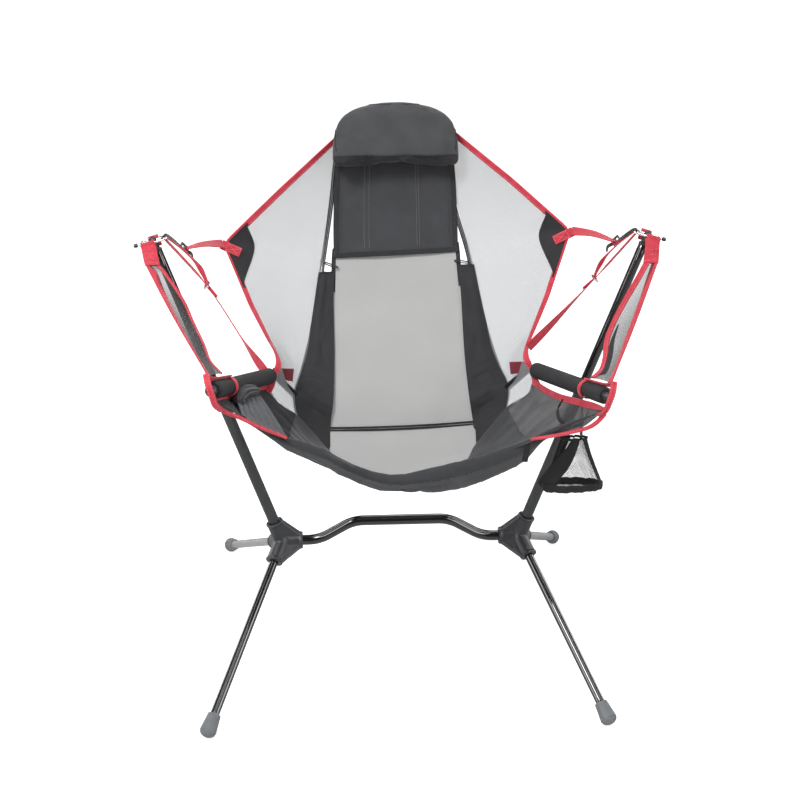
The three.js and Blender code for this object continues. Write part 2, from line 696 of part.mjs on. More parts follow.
function pillow() {
  const outline = new THREE.Shape();
  const { halfWidth: w, shoulder, height } = PILLOW;
  outline.moveTo(-w + 15, 2);
  outline.lineTo(w - 15, 2);
  outline.quadraticCurveTo(w, 2, w, 17);
  outline.lineTo(w - 7, shoulder);
  outline.bezierCurveTo(w - 12, height - 16, w * 0.5, height, 0, height);
  outline.bezierCurveTo(-w * 0.5, height, -w + 12, height - 16, -w + 7, shoulder);
  outline.lineTo(-w, 17);
  outline.quadraticCurveTo(-w, 2, -w + 15, 2);
  const corners = outline.getPoints(6).slice(0, -1);
  const bevel = 5;
  const geometry = new THREE.ExtrudeGeometry(new THREE.Shape(corners), {
    depth: PILLOW.depth - 2 * bevel, bevelEnabled: true, bevelThickness: bevel,
    bevelSize: bevel, bevelOffset: -bevel, bevelSegments: 2, curveSegments: 6,
  });
  geometry.translate(0, 0, -(PILLOW.depth / 2 - bevel));
  const lean = THREE.MathUtils.degToRad(PILLOW.lean);
  geometry.rotateX(Math.PI / 2 - lean);
  return geometry.translate(0, PILLOW.y, PILLOW.z);
}
add('head_pillow', pillow(), FINISH.darkCloth);

// ---------- cup holder, hung under the right arm ----------
const CUP = { x: 264, y: -200, top: 510, bottom: 412, rTop: 34, rBottom: 52, wall: 1.6 };

function cupHolder() {
  const tall = CUP.top - CUP.bottom;
  const profile = [
    [0, 0], [CUP.rBottom - 5, 0], [CUP.rBottom, 5], [CUP.rTop, tall], [CUP.rTop - CUP.wall, tall],
    [CUP.rBottom - CUP.wall, 6], [CUP.rBottom - 6, CUP.wall], [0, CUP.wall],
  ];
  return turned(v(CUP.x, CUP.y, CUP.bottom), v(0, 0, 1), profile, 20);
}
add('cup_holder', cupHolder(), FINISH.blackCloth);
add(
  'cup_strap',
  strap([v(CUP.x + 14, CUP.y, CUP.top + 3), seat(1, 282, -200, 566)], v(0, 1, 0), 20, WEB, 3),
  FINISH.blackWeb,
);

export default chair;
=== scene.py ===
"""Camp rocking chair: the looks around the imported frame. Metres, +Z up, the sitter faces -Y."""

import json
import math

import bmesh
import bpy
import numpy as np
from mathutils import Euler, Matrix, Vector
from mathutils.bvhtree import BVHTree

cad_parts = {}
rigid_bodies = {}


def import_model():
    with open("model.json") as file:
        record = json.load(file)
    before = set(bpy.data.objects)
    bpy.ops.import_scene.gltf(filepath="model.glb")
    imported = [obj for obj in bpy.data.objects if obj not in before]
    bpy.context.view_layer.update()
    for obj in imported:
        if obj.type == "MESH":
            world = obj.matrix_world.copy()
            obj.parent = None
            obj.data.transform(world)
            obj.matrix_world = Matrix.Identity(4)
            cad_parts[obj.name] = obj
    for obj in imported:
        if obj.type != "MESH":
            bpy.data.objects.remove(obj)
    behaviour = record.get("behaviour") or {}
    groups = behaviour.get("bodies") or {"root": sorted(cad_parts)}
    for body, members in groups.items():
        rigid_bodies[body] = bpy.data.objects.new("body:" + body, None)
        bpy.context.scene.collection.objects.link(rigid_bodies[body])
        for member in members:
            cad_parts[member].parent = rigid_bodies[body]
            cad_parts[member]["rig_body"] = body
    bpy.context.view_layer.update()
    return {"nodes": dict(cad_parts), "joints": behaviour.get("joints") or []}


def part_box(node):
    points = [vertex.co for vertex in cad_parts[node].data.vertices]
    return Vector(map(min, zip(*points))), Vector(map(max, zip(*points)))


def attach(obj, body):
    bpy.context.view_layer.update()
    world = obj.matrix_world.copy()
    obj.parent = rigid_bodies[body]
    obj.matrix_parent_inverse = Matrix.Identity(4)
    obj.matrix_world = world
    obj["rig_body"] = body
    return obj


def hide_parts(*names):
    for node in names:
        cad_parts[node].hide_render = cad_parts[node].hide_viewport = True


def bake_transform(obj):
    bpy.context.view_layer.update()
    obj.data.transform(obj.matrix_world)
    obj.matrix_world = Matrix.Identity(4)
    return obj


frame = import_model()

MM = 0.001
SIDES = (("left", -1), ("right", 1))
X_AXIS, Y_AXIS, Z_AXIS = np.eye(3)


def both(*parts):
    """Makes all of the parts on the left, then all of them on the right."""
    for name, side in SIDES:
        for part in parts:
            part(name, side)


# ---------- points and curves ----------
def unit(v):
    v = np.asarray(v, float)
    return v / np.linalg.norm(v, axis=-1, keepdims=True)


def points_of(node):
    """The vertices of a CAD node, as an array."""
    mesh = frame["nodes"][node].data
    co = np.zeros(len(mesh.vertices) * 3)
    mesh.vertices.foreach_get("co", co)
    return co.reshape(-1, 3)


def middle_of(node):
    low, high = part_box(node)
    return np.array((low + high) / 2)


def axis_of(node):
    """The two ends of a CAD rod's axis, lowest first, and its outer radius."""
    points = points_of(node)
    centre = points.mean(0)
    direction = np.linalg.svd(points - centre, full_matrices=False)[2][0]
    if direction[2] < 0:
        direction = -direction
    along = (points - centre) @ direction
    edge = 0.002 * np.ptp(along) + 1e-5
    ends = [points[along < along.min() + edge], points[along > along.max() - edge]]
    start, end = [(rim.min(0) + rim.max(0)) / 2 for rim in ends]
    line = unit(end - start)
    radius = np.linalg.norm(np.cross(points - start, line), axis=1).max()
    return start, end, radius


def spline(controls, count):
    """`count` points, evenly spaced, along a smooth curve through the control points."""
    p = np.asarray(controls, float)
    steps = np.linalg.norm(np.diff(p, axis=0), axis=1)
    knots = np.concatenate([[0], np.cumsum(np.sqrt(steps))])
    slope = np.gradient(p, knots, axis=0)
    t = np.linspace(0, knots[-1], 30 * len(p))
    k = np.clip(np.searchsorted(knots, t, side="right") - 1, 0, len(p) - 2)
    h = (knots[k + 1] - knots[k])[:, None]
    s = (t - knots[k])[:, None] / h
    dense = (
        (2 * s**3 - 3 * s**2 + 1) * p[k]
        + (s**3 - 2 * s**2 + s) * h * slope[k]
        + (3 * s**2 - 2 * s**3) * p[k + 1]
        + (s**3 - s**2) * h * slope[k + 1]
    )
    return resample(dense, count)


def reach_of(line):
    """How far along a polyline each of its points lies."""
    return np.concatenate([[0], np.cumsum(np.linalg.norm(np.diff(line, axis=0), axis=1))])


def points_at(want, reach, line):
    return np.stack([np.interp(want, reach, line[:, a]) for a in range(3)], 1)


def resample(line, count):
    """`count` points, evenly spaced, along a polyline."""
    line = np.asarray(line, float)
    reach = reach_of(line)
    return points_at(np.linspace(0, reach[-1], count), reach, line)


def bent(corners, bend, steps=8):
    """Straight runs between corners, joined by round bends."""
    corners = [np.asarray(c, float) for c in corners]
    line = [corners[0]]
    for before, corner, after in zip(corners, corners[1:], corners[2:]):
        a = corner + unit(before - corner) * bend
        b = corner + unit(after - corner) * bend
        for t in np.linspace(0, 1, steps):
            line.append((1 - t) ** 2 * a + 2 * t * (1 - t) * corner + t**2 * b)
    return np.array(line + [corners[-1]])


def nearest_on(points, start, end, stop=1.0):
    """For each point: the nearest place between two ends, as a share of the way, and the step from there."""
    run = end - start
    share = np.clip((points - start) @ run / max(run @ run, 1e-9), 0, stop)
    return share, points - (start + share[..., None] * run)


def smooth_step(x):
    x = np.clip(x, 0, 1)
    return x * x * (3 - 2 * x)


# ---------- the seat's skew ----------
PIN_Z = next(joint for joint in frame["joints"] if joint["name"] == "seat_swing")["pos_m"][2]
cap_left, cap_right = points_of("arm_cap_left").mean(0), points_of("arm_cap_right").mean(0)
SKEW = math.atan((cap_right[2] - cap_left[2]) / (cap_right[1] + cap_left[1])) / cap_right[0]


def seat(side, *points):
    """Points in millimetres of the right half before its skew, moved to where they hang on one side."""
    p = np.array(points, float).reshape(-1, 3) * MM
    p[:, 0] *= side
    angle = SKEW * p[:, 0]
    y, z = p[:, 1], p[:, 2] - PIN_Z
    return np.stack([p[:, 0], y * np.cos(angle) - z * np.sin(angle),
                     PIN_Z + y * np.sin(angle) + z * np.cos(angle)], 1)


# ---------- objects and meshes ----------
def assign(thing, settings):
    for key, value in settings.items():
        setattr(thing, key, value)


def new_object(name, data):
    obj = bpy.data.objects.new(name, data)
    bpy.context.scene.collection.objects.link(obj)
    return obj


def paint(obj, look):
    obj.data.materials.clear()
    obj.data.materials.append(LOOKS[look])
    obj.data.shade_smooth()


def modify(obj, kind, **settings):
    assign(obj.modifiers.new(kind.title(), kind), settings)


def add_mesh(name, verts, faces, look, uvs=None, sharp=45):
    """A new smooth object; `uvs` holds one (u, v) in metres for each face corner."""
    mesh = bpy.data.meshes.new(name)
    mesh.from_pydata(np.asarray(verts).tolist(), [], faces)
    if uvs is not None:
        layer = mesh.uv_layers.new(name="cloth")
        layer.data.foreach_set("uv", np.asarray(uvs, np.float32).ravel())
    build = bmesh.new()
    build.from_mesh(mesh)
    bmesh.ops.recalc_face_normals(build, faces=build.faces)
    build.to_mesh(mesh)
    build.free()
    mesh.shade_smooth()
    mesh.set_sharp_from_angle(angle=math.radians(sharp))
    mesh.materials.append(LOOKS[look])
    return new_object(name, mesh)


def wall(around, u, v, rings):
    """Quads between rings of points, with their UVs; after the last of the rings comes the first."""
    faces, uvs = [], []
    for i in range(len(v) - 1):
        n = (i + 1) % rings
        for j in range(around):
            k = (j + 1) % around
            faces.append((i * around + j, i * around + k, n * around + k, n * around + j))
            uvs += [(u[j], v[i]), (u[j + 1], v[i]), (u[j + 1], v[i + 1]), (u[j], v[i + 1])]
    return faces, uvs


def skin(name, rings, look, sharp=45):
    """A closed solid from rings of points (ring, around, xyz), with a fan at each end."""
    rings = np.asarray(rings, float)
    count, around = rings.shape[:2]
    verts = np.concatenate([rings.reshape(-1, 3), rings[:1].mean(1), rings[-1:].mean(1)])
    steps = np.linalg.norm(np.roll(rings, -1, 1) - rings, axis=2).mean(0)
    u = np.concatenate([[0], np.cumsum(steps)])
    v = reach_of(rings.mean(1))
    faces, uvs = wall(around, u, v, count)
    hub = count * around
    for j in range(around):
        k = (j + 1) % around
        faces += [(j, hub, k), (hub - around + k, hub + 1, hub - around + j)]
        uvs += [(u[j], 0), (0, 0), (u[j + 1], 0)] + [(u[j + 1], v[-1]), (0, v[-1]), (u[j], v[-1])]
    return add_mesh(name, verts, faces, look, uvs, sharp)


def grid_normals(grid):
    return unit(np.cross(np.gradient(grid, axis=1), np.gradient(grid, axis=0)))


def sheet(name, grid, thickness, look):
    """A sheet of fabric about a grid of points (row, column, xyz)."""
    grid = np.asarray(grid, float)
    rows, columns = grid.shape[:2]
    half = grid_normals(grid) * thickness / 2
    verts = np.concatenate([(grid + half).reshape(-1, 3), (grid - half).reshape(-1, 3)])
    u = np.concatenate([np.zeros((rows, 1)), np.cumsum(np.linalg.norm(np.diff(grid, axis=1), axis=2), 1)], 1)
    v = np.concatenate([np.zeros((1, columns)), np.cumsum(np.linalg.norm(np.diff(grid, axis=0), axis=2), 0)])
    u = u - u[:, -1:] / 2
    flat = np.stack([u, v], -1).reshape(-1, 2)
    faces = []
    back = rows * columns
    for i in range(rows - 1):
        for j in range(columns - 1):
            a = i * columns + j
            quad = (a, a + 1, a + columns + 1, a + columns)
            faces += [quad, tuple(back + q for q in quad[::-1])]
    loop = list(range(columns)) + [i * columns + columns - 1 for i in range(1, rows)]
    loop += [(rows - 1) * columns + j for j in range(columns - 2, -1, -1)]
    loop += [i * columns for i in range(rows - 2, 0, -1)]
    for a, b in zip(loop, loop[1:] + loop[:1]):
        faces.append((b, a, back + a, back + b))
    uvs = [flat[q % back] for face in faces for q in face]
    return add_mesh(name, verts, faces, look, uvs, 60)


def travel(line, start_side):
    """Unit tangents and side vectors along a line; a side vector keeps its direction as it goes."""
    tangents = unit(np.gradient(line, axis=0))
    sides = []
    side = np.asarray(start_side, float)
    for t in tangents:
        side = unit(side - t * (side @ t))
        sides.append(side)
    return tangents, np.array(sides)


def rings_about(line, radii, sides, others, around):
    """A circle of points about each point of a line, in the plane of two directions."""
    angle = np.linspace(0, 2 * np.pi, around, endpoint=False)[None, :, None]
    return line[:, None] + radii[:, None, None] * (
        sides[:, None] * np.cos(angle) + others[:, None] * np.sin(angle))


def tube(name, line, radius, look, around=32, chamfer=0.0):
    """A round rod along a line. The radius may vary, and the ends may be chamfered."""
    line = np.asarray(line, float)
    radii = np.broadcast_to(np.asarray(radius, float), len(line)).copy()
    if chamfer:
        for end in (0, -1):
            step = unit(line[end] - line[1 if end == 0 else -2]) * chamfer
            ring = line[end] - step
            line = np.insert(line, 1 if end == 0 else len(line) - 1, ring, 0)
            radii = np.insert(radii, 1 if end == 0 else len(radii) - 1, radii[end])
            radii[end] -= chamfer
    guess = X_AXIS if abs(unit(line[-1] - line[0])[0]) < 0.8 else Y_AXIS
    tangents, sides = travel(line, guess)
    return skin(name, rings_about(line, radii, sides, np.cross(tangents, sides), around), look)


def turned(name, start, direction, profile, look, around=40):
    """A turned piece; the profile holds (distance along, radius)."""
    axis = unit(direction)
    line = np.array([start + axis * along for along, _ in profile])
    side = unit(np.cross(axis, X_AXIS if abs(axis[0]) < 0.8 else Y_AXIS))
    radii = np.array([radius for _, radius in profile])
    return skin(name, rings_about(line, radii, side[None], np.cross(axis, side)[None], around), look, 35)


def ribbon(name, line, across, width, thickness, look):
    """Webbing along a line. `across` gives the direction of its width at each point, or at all of them."""
    line = np.asarray(line, float)
    across = np.broadcast_to(np.asarray(across, float), line.shape)
    width = np.broadcast_to(np.asarray(width, float), len(line))[:, None]
    tangents = unit(np.gradient(line, axis=0))
    side = unit(across - tangents * (across * tangents).sum(1, keepdims=True))
    up = np.cross(tangents, side)
    flat = np.array([-0.5, -0.46, -0.36, -0.12, 0.12, 0.36, 0.46, 0.5])
    lift = np.array([0.18, 0.42, 0.5, 0.46, 0.46, 0.5, 0.42, 0.18])
    s = np.concatenate([flat, flat[::-1]])
    h = np.concatenate([lift, -lift[::-1]])
    rings = line[:, None] + side[:, None] * s[None, :, None] * width[:, None] \
        + up[:, None] * (h * thickness)[None, :, None]
    return skin(name, rings, look, 50)


def stitches(name, lines, look, length=3.2 * MM, gap=1.5 * MM, radius=0.42 * MM):
    """Raised thread dashes along each line, all in one piece."""
    verts, faces = [], []
    bead = wall(6, np.zeros(7), np.zeros(5), 5)[0] + [tuple(range(5, -1, -1)), tuple(range(24, 30))]
    radii = radius * np.array([0.25, 0.85, 1, 0.85, 0.25])
    for line in lines:
        reach = reach_of(line)
        for start in np.arange(0, reach[-1] - length, length + gap):
            p = points_at(start + length * np.array([0, 0.18, 0.5, 0.82, 1]), reach, line)
            run = unit(p[-1] - p[0])
            side = unit(np.cross(run, Z_AXIS if abs(run[2]) < 0.9 else X_AXIS))
            faces += [tuple(len(verts) + k for k in face) for face in bead]
            verts += list(rings_about(p, radii, side[None], np.cross(run, side)[None], 6).reshape(-1, 3))
    return add_mesh(name, verts, faces, look)


def named(replaced):
    """Hides the CAD nodes that a piece replaces."""
    if replaced:
        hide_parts(*replaced)


def ride(obj, body, *replaced, slot=None):
    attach(obj, body)
    named(replaced)


def between(obj, top, bottom, *replaced):
    """Bakes a piece's placement into its mesh and hides the CAD nodes it replaces; its top and bottom are not
    used.
    """
    named(replaced)
    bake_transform(obj)


def body_of(node):
    return frame["nodes"][node]["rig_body"]


# ---------- materials ----------
LOOKS = {}


def shader(name):
    """The empty node tree of a new look; surface() completes it."""
    LOOKS[name] = bpy.data.materials.new(name)
    LOOKS[name].use_nodes = True
    LOOKS[name].node_tree.nodes.clear()
    return LOOKS[name].node_tree


def put(tree, kind, inputs, **settings):
    node = tree.nodes.new("ShaderNode" + kind)
    assign(node, settings)
    for key, value in inputs.items():
        if isinstance(value, bpy.types.NodeSocket):
            tree.links.new(value, node.inputs[key])
        else:
            node.inputs[key].default_value = value
    return node


def calc(tree, operation, a, b=0.0):
    return put(tree, "Math", {0: a, 1: b}, operation=operation).outputs[0]


def plus(tree, a, b):
    return calc(tree, "ADD", a, b)


def times(tree, a, b):
    return calc(tree, "MULTIPLY", a, b)


def mix_colour(tree, share, a, b):
    return put(tree, "Mix", {"Factor": share, 6: a, 7: b}, data_type="RGBA").outputs[2]


def place_of(tree):
    return put(tree, "TexCoord", {}).outputs["Object"]


def axes_of(tree, vector):
    return put(tree, "SeparateXYZ", {"Vector": vector}).outputs


def bumped(tree, height, strength, distance):
    return put(tree, "Bump", {"Height": height, "Strength": strength, "Distance": distance}).outputs[0]


def noise_of(tree, coordinates, scale, detail=3.0, roughness=0.55):
    return put(tree, "TexNoise", {"Vector": coordinates, "Scale": scale, "Detail": detail,
                                  "Roughness": roughness}).outputs["Fac"]


def band(tree, value, low, high):
    return put(tree, "MapRange", {"Value": value, "From Min": low, "From Max": high}).outputs["Result"]


def tint(colour, factor):
    return (colour[0] * factor, colour[1] * factor, colour[2] * factor, 1)


def surface(tree, shown):
    put(tree, "OutputMaterial", {"Surface": shown})


def uv_waves(tree, pitch_u, pitch_v):
    """Sine waves across and along the cloth."""
    u, v, _ = axes_of(tree, put(tree, "UVMap", {}, uv_map="cloth").outputs["UV"])
    return waves(tree, u, pitch_u), waves(tree, v, pitch_v)


def fabric(tree, colour, bump, roughness, sheen, sheen_roughness, specular):
    return put(tree, "BsdfPrincipled", {
        "Base Color": colour, "Roughness": roughness, "Normal": bump, "Sheen Weight": sheen,
        "Sheen Roughness": sheen_roughness, "Specular IOR Level": specular}).outputs[0]


def waves(tree, value, pitch):
    return calc(tree, "SINE", times(tree, value, 2 * math.pi / pitch))


def cloth(name, colour, sheen=0.25, roughness=0.78, solid=False):
    """Plain-woven polyester: crossing threads, uneven tone and a soft sheen. A solid one needs no UV map."""
    tree = shader(name)
    where = place_of(tree)
    pitch = 1.5 * MM
    if solid:
        x, y, z = axes_of(tree, where)
        warp, weft = waves(tree, x, pitch), waves(tree, plus(tree, z, y), pitch)
    else:
        warp, weft = uv_waves(tree, pitch, pitch)
    weave = times(tree, warp, weft)
    mottle = noise_of(tree, where, 26, 4)
    fine = noise_of(tree, where, 900, 2)
    tone = plus(tree, times(tree, weave, 0.08), band(tree, mottle, 0.2, 0.8))
    colour_out = mix_colour(tree, tone, tint(colour, 0.80), tint(colour, 1.18))
    height = plus(tree, weave, times(tree, fine, 0.9))
    bump = bumped(tree, height, 0.22, 0.35 * MM)
    surface(tree, fabric(tree, colour_out, bump, roughness, sheen, 0.45, 0.32))


def webbing(name, colour, dark, rib=2.1 * MM):
    """Woven strap: ribs along its length crossed by fine weft, lighter on the raised ribs and darker in the
    grooves between them.
    """
    tree = shader(name)
    where = place_of(tree)
    across, along = uv_waves(tree, rib, 1.7 * MM)
    ribs = calc(tree, "ABSOLUTE", across)
    weave = plus(tree, times(tree, ribs, 0.65), times(tree, along, 0.25))
    mottle = band(tree, noise_of(tree, where, 60, 4), 0.25, 0.75)
    tone = plus(tree, times(tree, weave, 0.55), times(tree, mottle, 0.55))
    colour_out = mix_colour(tree, tone, dark, colour)
    bump = bumped(tree, weave, 0.45, 0.4 * MM)
    surface(tree, fabric(tree, colour_out, bump, 0.72, 0.35, 0.4, 0.3))


def net(name, colour, cover, hole, graze=0.0):
    """Knitted mesh: fine threads with small holes. `graze` closes it up where it is seen aslant."""
    tree = shader(name)
    where = place_of(tree)
    across, along = uv_waves(tree, 1.9 * MM, 1.9 * MM)
    knit = times(tree, across, along)
    open_share = band(tree, knit, 0.1, 0.75)
    mottle = noise_of(tree, where, 9, 3)
    colour_out = mix_colour(tree, mottle, tint(colour, 0.9), tint(colour, 1.1))
    bump = bumped(tree, knit, 0.3, 0.3 * MM)
    yarn = fabric(tree, colour_out, bump, 0.8, 0.2, 0.5, 0.25)
    aslant = put(tree, "LayerWeight", {"Blend": 0.5}).outputs["Facing"]
    closed = times(tree, times(tree, aslant, aslant), graze)
    threads = calc(tree, "SUBTRACT", cover, times(tree, open_share, hole))
    veil = put(tree, "Clamp", {"Value": plus(tree, threads, closed)}).outputs[0]
    clear = put(tree, "BsdfTransparent", {}).outputs[0]
    surface(tree, put(tree, "MixShader", {0: veil, 1: clear, 2: yarn}).outputs[0])


def hard(name, colour, metallic, roughness, coat=0.0, grain=0.0, grain_scale=700, scuff=0.12, wear=None):
    """Metal, plastic or rubber: a little tone and gloss variation, moulded grain and rubbed edges."""
    tree = shader(name)
    where = place_of(tree)
    mottle = noise_of(tree, where, 22, 5)
    fine = noise_of(tree, where, grain_scale, 3)
    shade = mix_colour(tree, mottle, tint(colour, 1 - scuff), tint(colour, 1 + scuff))
    if wear:
        point = put(tree, "NewGeometry", {}).outputs["Pointiness"]
        edge = times(tree, band(tree, point, 0.53, 0.62), band(tree, mottle, 0.35, 0.7))
        shade = mix_colour(tree, edge, shade, wear)
    rough = put(tree, "MapRange", {"Value": fine, "To Min": max(roughness - 0.06, 0.02),
                                   "To Max": roughness + 0.08}).outputs["Result"]
    surface(tree, put(tree, "BsdfPrincipled", {
        "Base Color": shade, "Metallic": metallic, "Roughness": rough, "Coat Weight": coat,
        "Coat Roughness": 0.06, "Normal": bumped(tree, fine, grain, 0.2 * MM)}).outputs[0])


webbing("red_webbing", (0.95, 0.103, 0.144, 1), (0.58, 0.028, 0.052, 1))
webbing("black_webbing", (0.020, 0.020, 0.022, 1), (0.006, 0.006, 0.007, 1))
cloth("dark_cloth", (0.060, 0.062, 0.067))
cloth("pillow_cloth", (0.078, 0.080, 0.085), solid=True)
cloth("gusset_cloth", (0.030, 0.030, 0.034), solid=True)
cloth("dark_cloth_solid", (0.044, 0.045, 0.049), solid=True)
cloth("black_cloth", (0.021, 0.021, 0.0235), roughness=0.7, sheen=0.08)
webbing("black_tape", (0.040, 0.040, 0.044, 1), (0.016, 0.016, 0.018, 1))
net("centre_mesh", (0.60, 0.61, 0.60), 0.86, hole=0.3)
net("wing_mesh", (0.46, 0.48, 0.50), 0.46, hole=0.25, graze=0.3)
net("panel_mesh", (0.085, 0.085, 0.09), 0.38, hole=0.2, graze=0.75)
cloth("smoky_left", (0.030, 0.031, 0.034), sheen=0.06)
net("smoky_right", (0.075, 0.077, 0.082), 0.74, hole=0.22, graze=0.3)
# The fan's mesh is its own pale translucent grey, raised lighter than the rest of the sling: painted
# highlight on its pleats.
net("smoky_fan_painted_highlight", (0.20, 0.205, 0.22), 0.62, hole=0.2, graze=0.6)
net("cup_veil", (0.030, 0.030, 0.033), 0.45, hole=0.3)
# A darker copy of the red webbing: painted shade for the tab under the arm's rear end.
webbing("red_webbing_painted_shade", (0.30, 0.045, 0.065, 1), (0.16, 0.018, 0.03, 1))
hard("thread", (0.22, 0.22, 0.24), 0, 0.7)
hard("red_thread", (0.92, 0.30, 0.34), 0, 0.7)
hard("dark_thread", (0.03, 0.03, 0.033), 0, 0.7)
hard("black_tube", (0.012, 0.012, 0.013), 0.3, 0.10, coat=0.8, scuff=0.3)
hard("dark_tube", (0.056, 0.058, 0.059), 0.5, 0.42, scuff=0.2, grain=0.05)
hard("silver_tube", (0.40, 0.41, 0.42), 0.85, 0.38, scuff=0.1)
hard("nylon", (0.034, 0.035, 0.039), 0, 0.36, grain=0.35, wear=(0.34, 0.35, 0.37, 1))
hard("rubber", (0.19, 0.20, 0.21), 0, 0.55, grain=0.3, scuff=0.2)
hard("steel", (0.78, 0.79, 0.80), 1.0, 0.14, scuff=0.05)
hard("black_plastic", (0.018, 0.018, 0.02), 0, 0.4, grain=0.2)
hard("foam", (0.020, 0.020, 0.022), 0, 0.85, grain=1.0, grain_scale=420, scuff=0.3)
webbing("cord", (0.03, 0.03, 0.033, 1), (0.01, 0.01, 0.011, 1), rib=1.2 * MM)


# Slots whose name isn't that of the look.
SLOT_OF = {
    **dict.fromkeys(("pillow_cloth", "gusset_cloth", "smoky_left", "smoky_right", "smoky_fan_painted_highlight"), "dark_cloth"),
    **dict.fromkeys(("black_tape", "cup_veil", "dark_thread"), "black_cloth"),
    **dict.fromkeys(("centre_mesh", "panel_mesh"), "seat_mesh"),
    **dict.fromkeys(("red_webbing_painted_shade", "red_thread"), "red_webbing"),
    "thread": "cord", "rubber": "rubber_grey"}


def dress(node, look, bevel=0, segments=2):
    """Gives a carried CAD node its look and, if asked, rounded edges."""
    obj = frame["nodes"][node]
    paint(obj, look)
    if bevel:
        modify(obj, "BEVEL", width=bevel, segments=segments)
    return obj


# ---------- base ----------
def fine_rod(node, name, look, around=40, chamfer=0.6 * MM):
    """A fine round rod in the place of a straight CAD rod."""
    start, end, radius = axis_of(node)
    ride(tube(name, resample([start, end], 12), radius, look, around, chamfer), body_of(node), node)


def hub(name, _):
    obj = dress(f"hub_{name}", "nylon")
    modify(obj, "REMESH", mode="VOXEL", voxel_size=1.0 * MM, use_smooth_shade=True)
    modify(obj, "SMOOTH", factor=0.5, iterations=4)


FOOT_R = 14.6 * MM
FOOT_DOME = 10 * MM  # depth of the dome below the cup
FOOT_CUP = 31 * MM


def foot(end, name):
    """Rubber foot: a shallow dome under a tapering cup, with a moulded step between them and faint ribs."""
    node = f"{end}_foot_{name}"
    ends = sorted(axis_of(f"{end}_leg_{name}")[:2], key=lambda point: point[2])
    up = unit(ends[1] - ends[0])
    reach = math.hypot(FOOT_DOME * up[2], FOOT_R * math.sqrt(1 - up[2] ** 2))
    centre = ends[0] + up * (reach - 0.8 * MM - ends[0][2]) / up[2]
    profile = [(-FOOT_DOME * math.cos(math.radians(a)), (FOOT_R - 0.5 * MM) * math.sin(math.radians(a)))
               for a in (4, 15, 28, 42, 56, 70, 82)]
    for along, inset in ((-0.2, 0.9), (0.0, 0.05), (0.4, 0.0), (8, 0.8), (16, 1.7), (24, 2.6), (30.2, 3.3),
                         (30.6, 3.4), (FOOT_CUP / MM, 3.9), (FOOT_CUP / MM + 0.05, 6.0)):
        profile.append((along * MM, FOOT_R - inset * MM))
    cover = turned(f"{end}_foot_cover_{name}", centre, up, profile, "rubber", 64)
    for vertex in cover.data.vertices:
        radial = np.array(vertex.co) - centre
        height = radial @ up
        if 2 * MM < height < FOOT_CUP - 3 * MM:
            flat = radial - up * height
            angle = math.atan2(flat @ np.cross(up, X_AXIS), flat[0])
            fade = math.sin(math.pi * (height - 2 * MM) / (FOOT_CUP - 5 * MM))
            vertex.co += Vector(unit(flat) * (0.3 * MM * fade * (math.cos(16 * angle) - 1)))
        vertex.co.z = max(vertex.co.z, 0.0)
    ride(cover, body_of(node), node)


def crossbar():
    """The bar between the hubs, arched over its middle."""
    points = points_of("crossbar")
    low, high = points.min(0), points.max(0)
    radius = (points[np.abs(points[:, 0]) > high[0] - 2 * MM][:, 2].max() - low[2]) / 2
    base_z, arch_z = low[2] + radius, high[2] - radius
    corners = [(low[0], 0, base_z), (-152 * MM, 0, base_z), (-88 * MM, 0, arch_z),
               (88 * MM, 0, arch_z), (152 * MM, 0, base_z), (high[0], 0, base_z)]
    ride(tube("crossbar_tube", bent(corners, 20 * MM, 12), radius, "black_tube", 48), "base", "crossbar")


def upright(name, _):
    fine_rod(f"lower_upright_{name}", f"lower_upright_tube_{name}", "dark_tube", 44, 1 * MM)
    fine_rod(f"upper_upright_{name}", f"upper_upright_tube_{name}", "black_tube")
    fine_rod(f"shock_cord_{name}", f"shock_cord_line_{name}", "cord", 12, 0.2 * MM)
    dress(f"pole_plug_{name}", "black_plastic", 0.4 * MM)
    start, end, radius = axis_of(f"lower_upright_{name}")
    up = unit(end - start)
    lip = [(-9 * MM, radius + 0.1 * MM), (-9 * MM, radius + 0.7 * MM), (-1 * MM, radius + 0.9 * MM),
           (1.4 * MM, radius + 0.5 * MM), (2.2 * MM, radius - 1.5 * MM)]
    ride(turned(f"upright_ferrule_{name}", end, up, lip, "black_plastic"), "base")


def legs(name, _):
    for end, look in (("front", "black_tube"), ("rear", "silver_tube")):
        fine_rod(f"{end}_leg_{name}", f"{end}_leg_tube_{name}", look)
        foot(end, name)


both(hub, legs, upright)
crossbar()


# ---------- hanger frames ----------
WIRE = 2 * MM
PIN_R = 2 * MM
RING_LENGTH = 40 * MM


class HangerRing:
    """The wire frame on one pin: its directions, and points on it."""

    def __init__(self, name, side):
        points = points_of(f"hanger_frame_{name}")
        run = np.linalg.svd(points - points.mean(0), full_matrices=False)[2][0]
        self.run = run * np.sign(run[0]) * side
        self.up = np.array([-self.run[2], 0, self.run[0]]) * side
        height = points @ self.up
        self.level = (height.min() + height.max()) / 2
        self.inner = (points @ self.run).min() + WIRE
        self.outer = self.inner + RING_LENGTH
        self.pin_end = (points @ self.run).max()
        self.half = points[:, 1].max() - WIRE

    def at(self, along, y=0.0, lift=0.0):
        return self.run * along + self.up * (self.level + lift) + Y_AXIS * y


def hanger_frame(name, side):
    ring = HangerRing(name, side)
    corners = [ring.at(ring.inner), ring.at(ring.inner, -ring.half), ring.at(ring.outer, -ring.half),
               ring.at(ring.outer, ring.half), ring.at(ring.inner, ring.half), ring.at(ring.inner, 0.1 * MM)]
    ride(tube(f"hanger_ring_{name}", bent(corners, 5 * MM), WIRE, "steel", 20), "suspension",
         f"hanger_frame_{name}")
    ride(tube(f"hanger_pin_{name}", resample([ring.at(ring.inner), ring.at(ring.pin_end)], 6), PIN_R,
              "steel", 24, 0.4 * MM), "suspension")
    dress(f"pin_cap_{name}", "black_plastic")


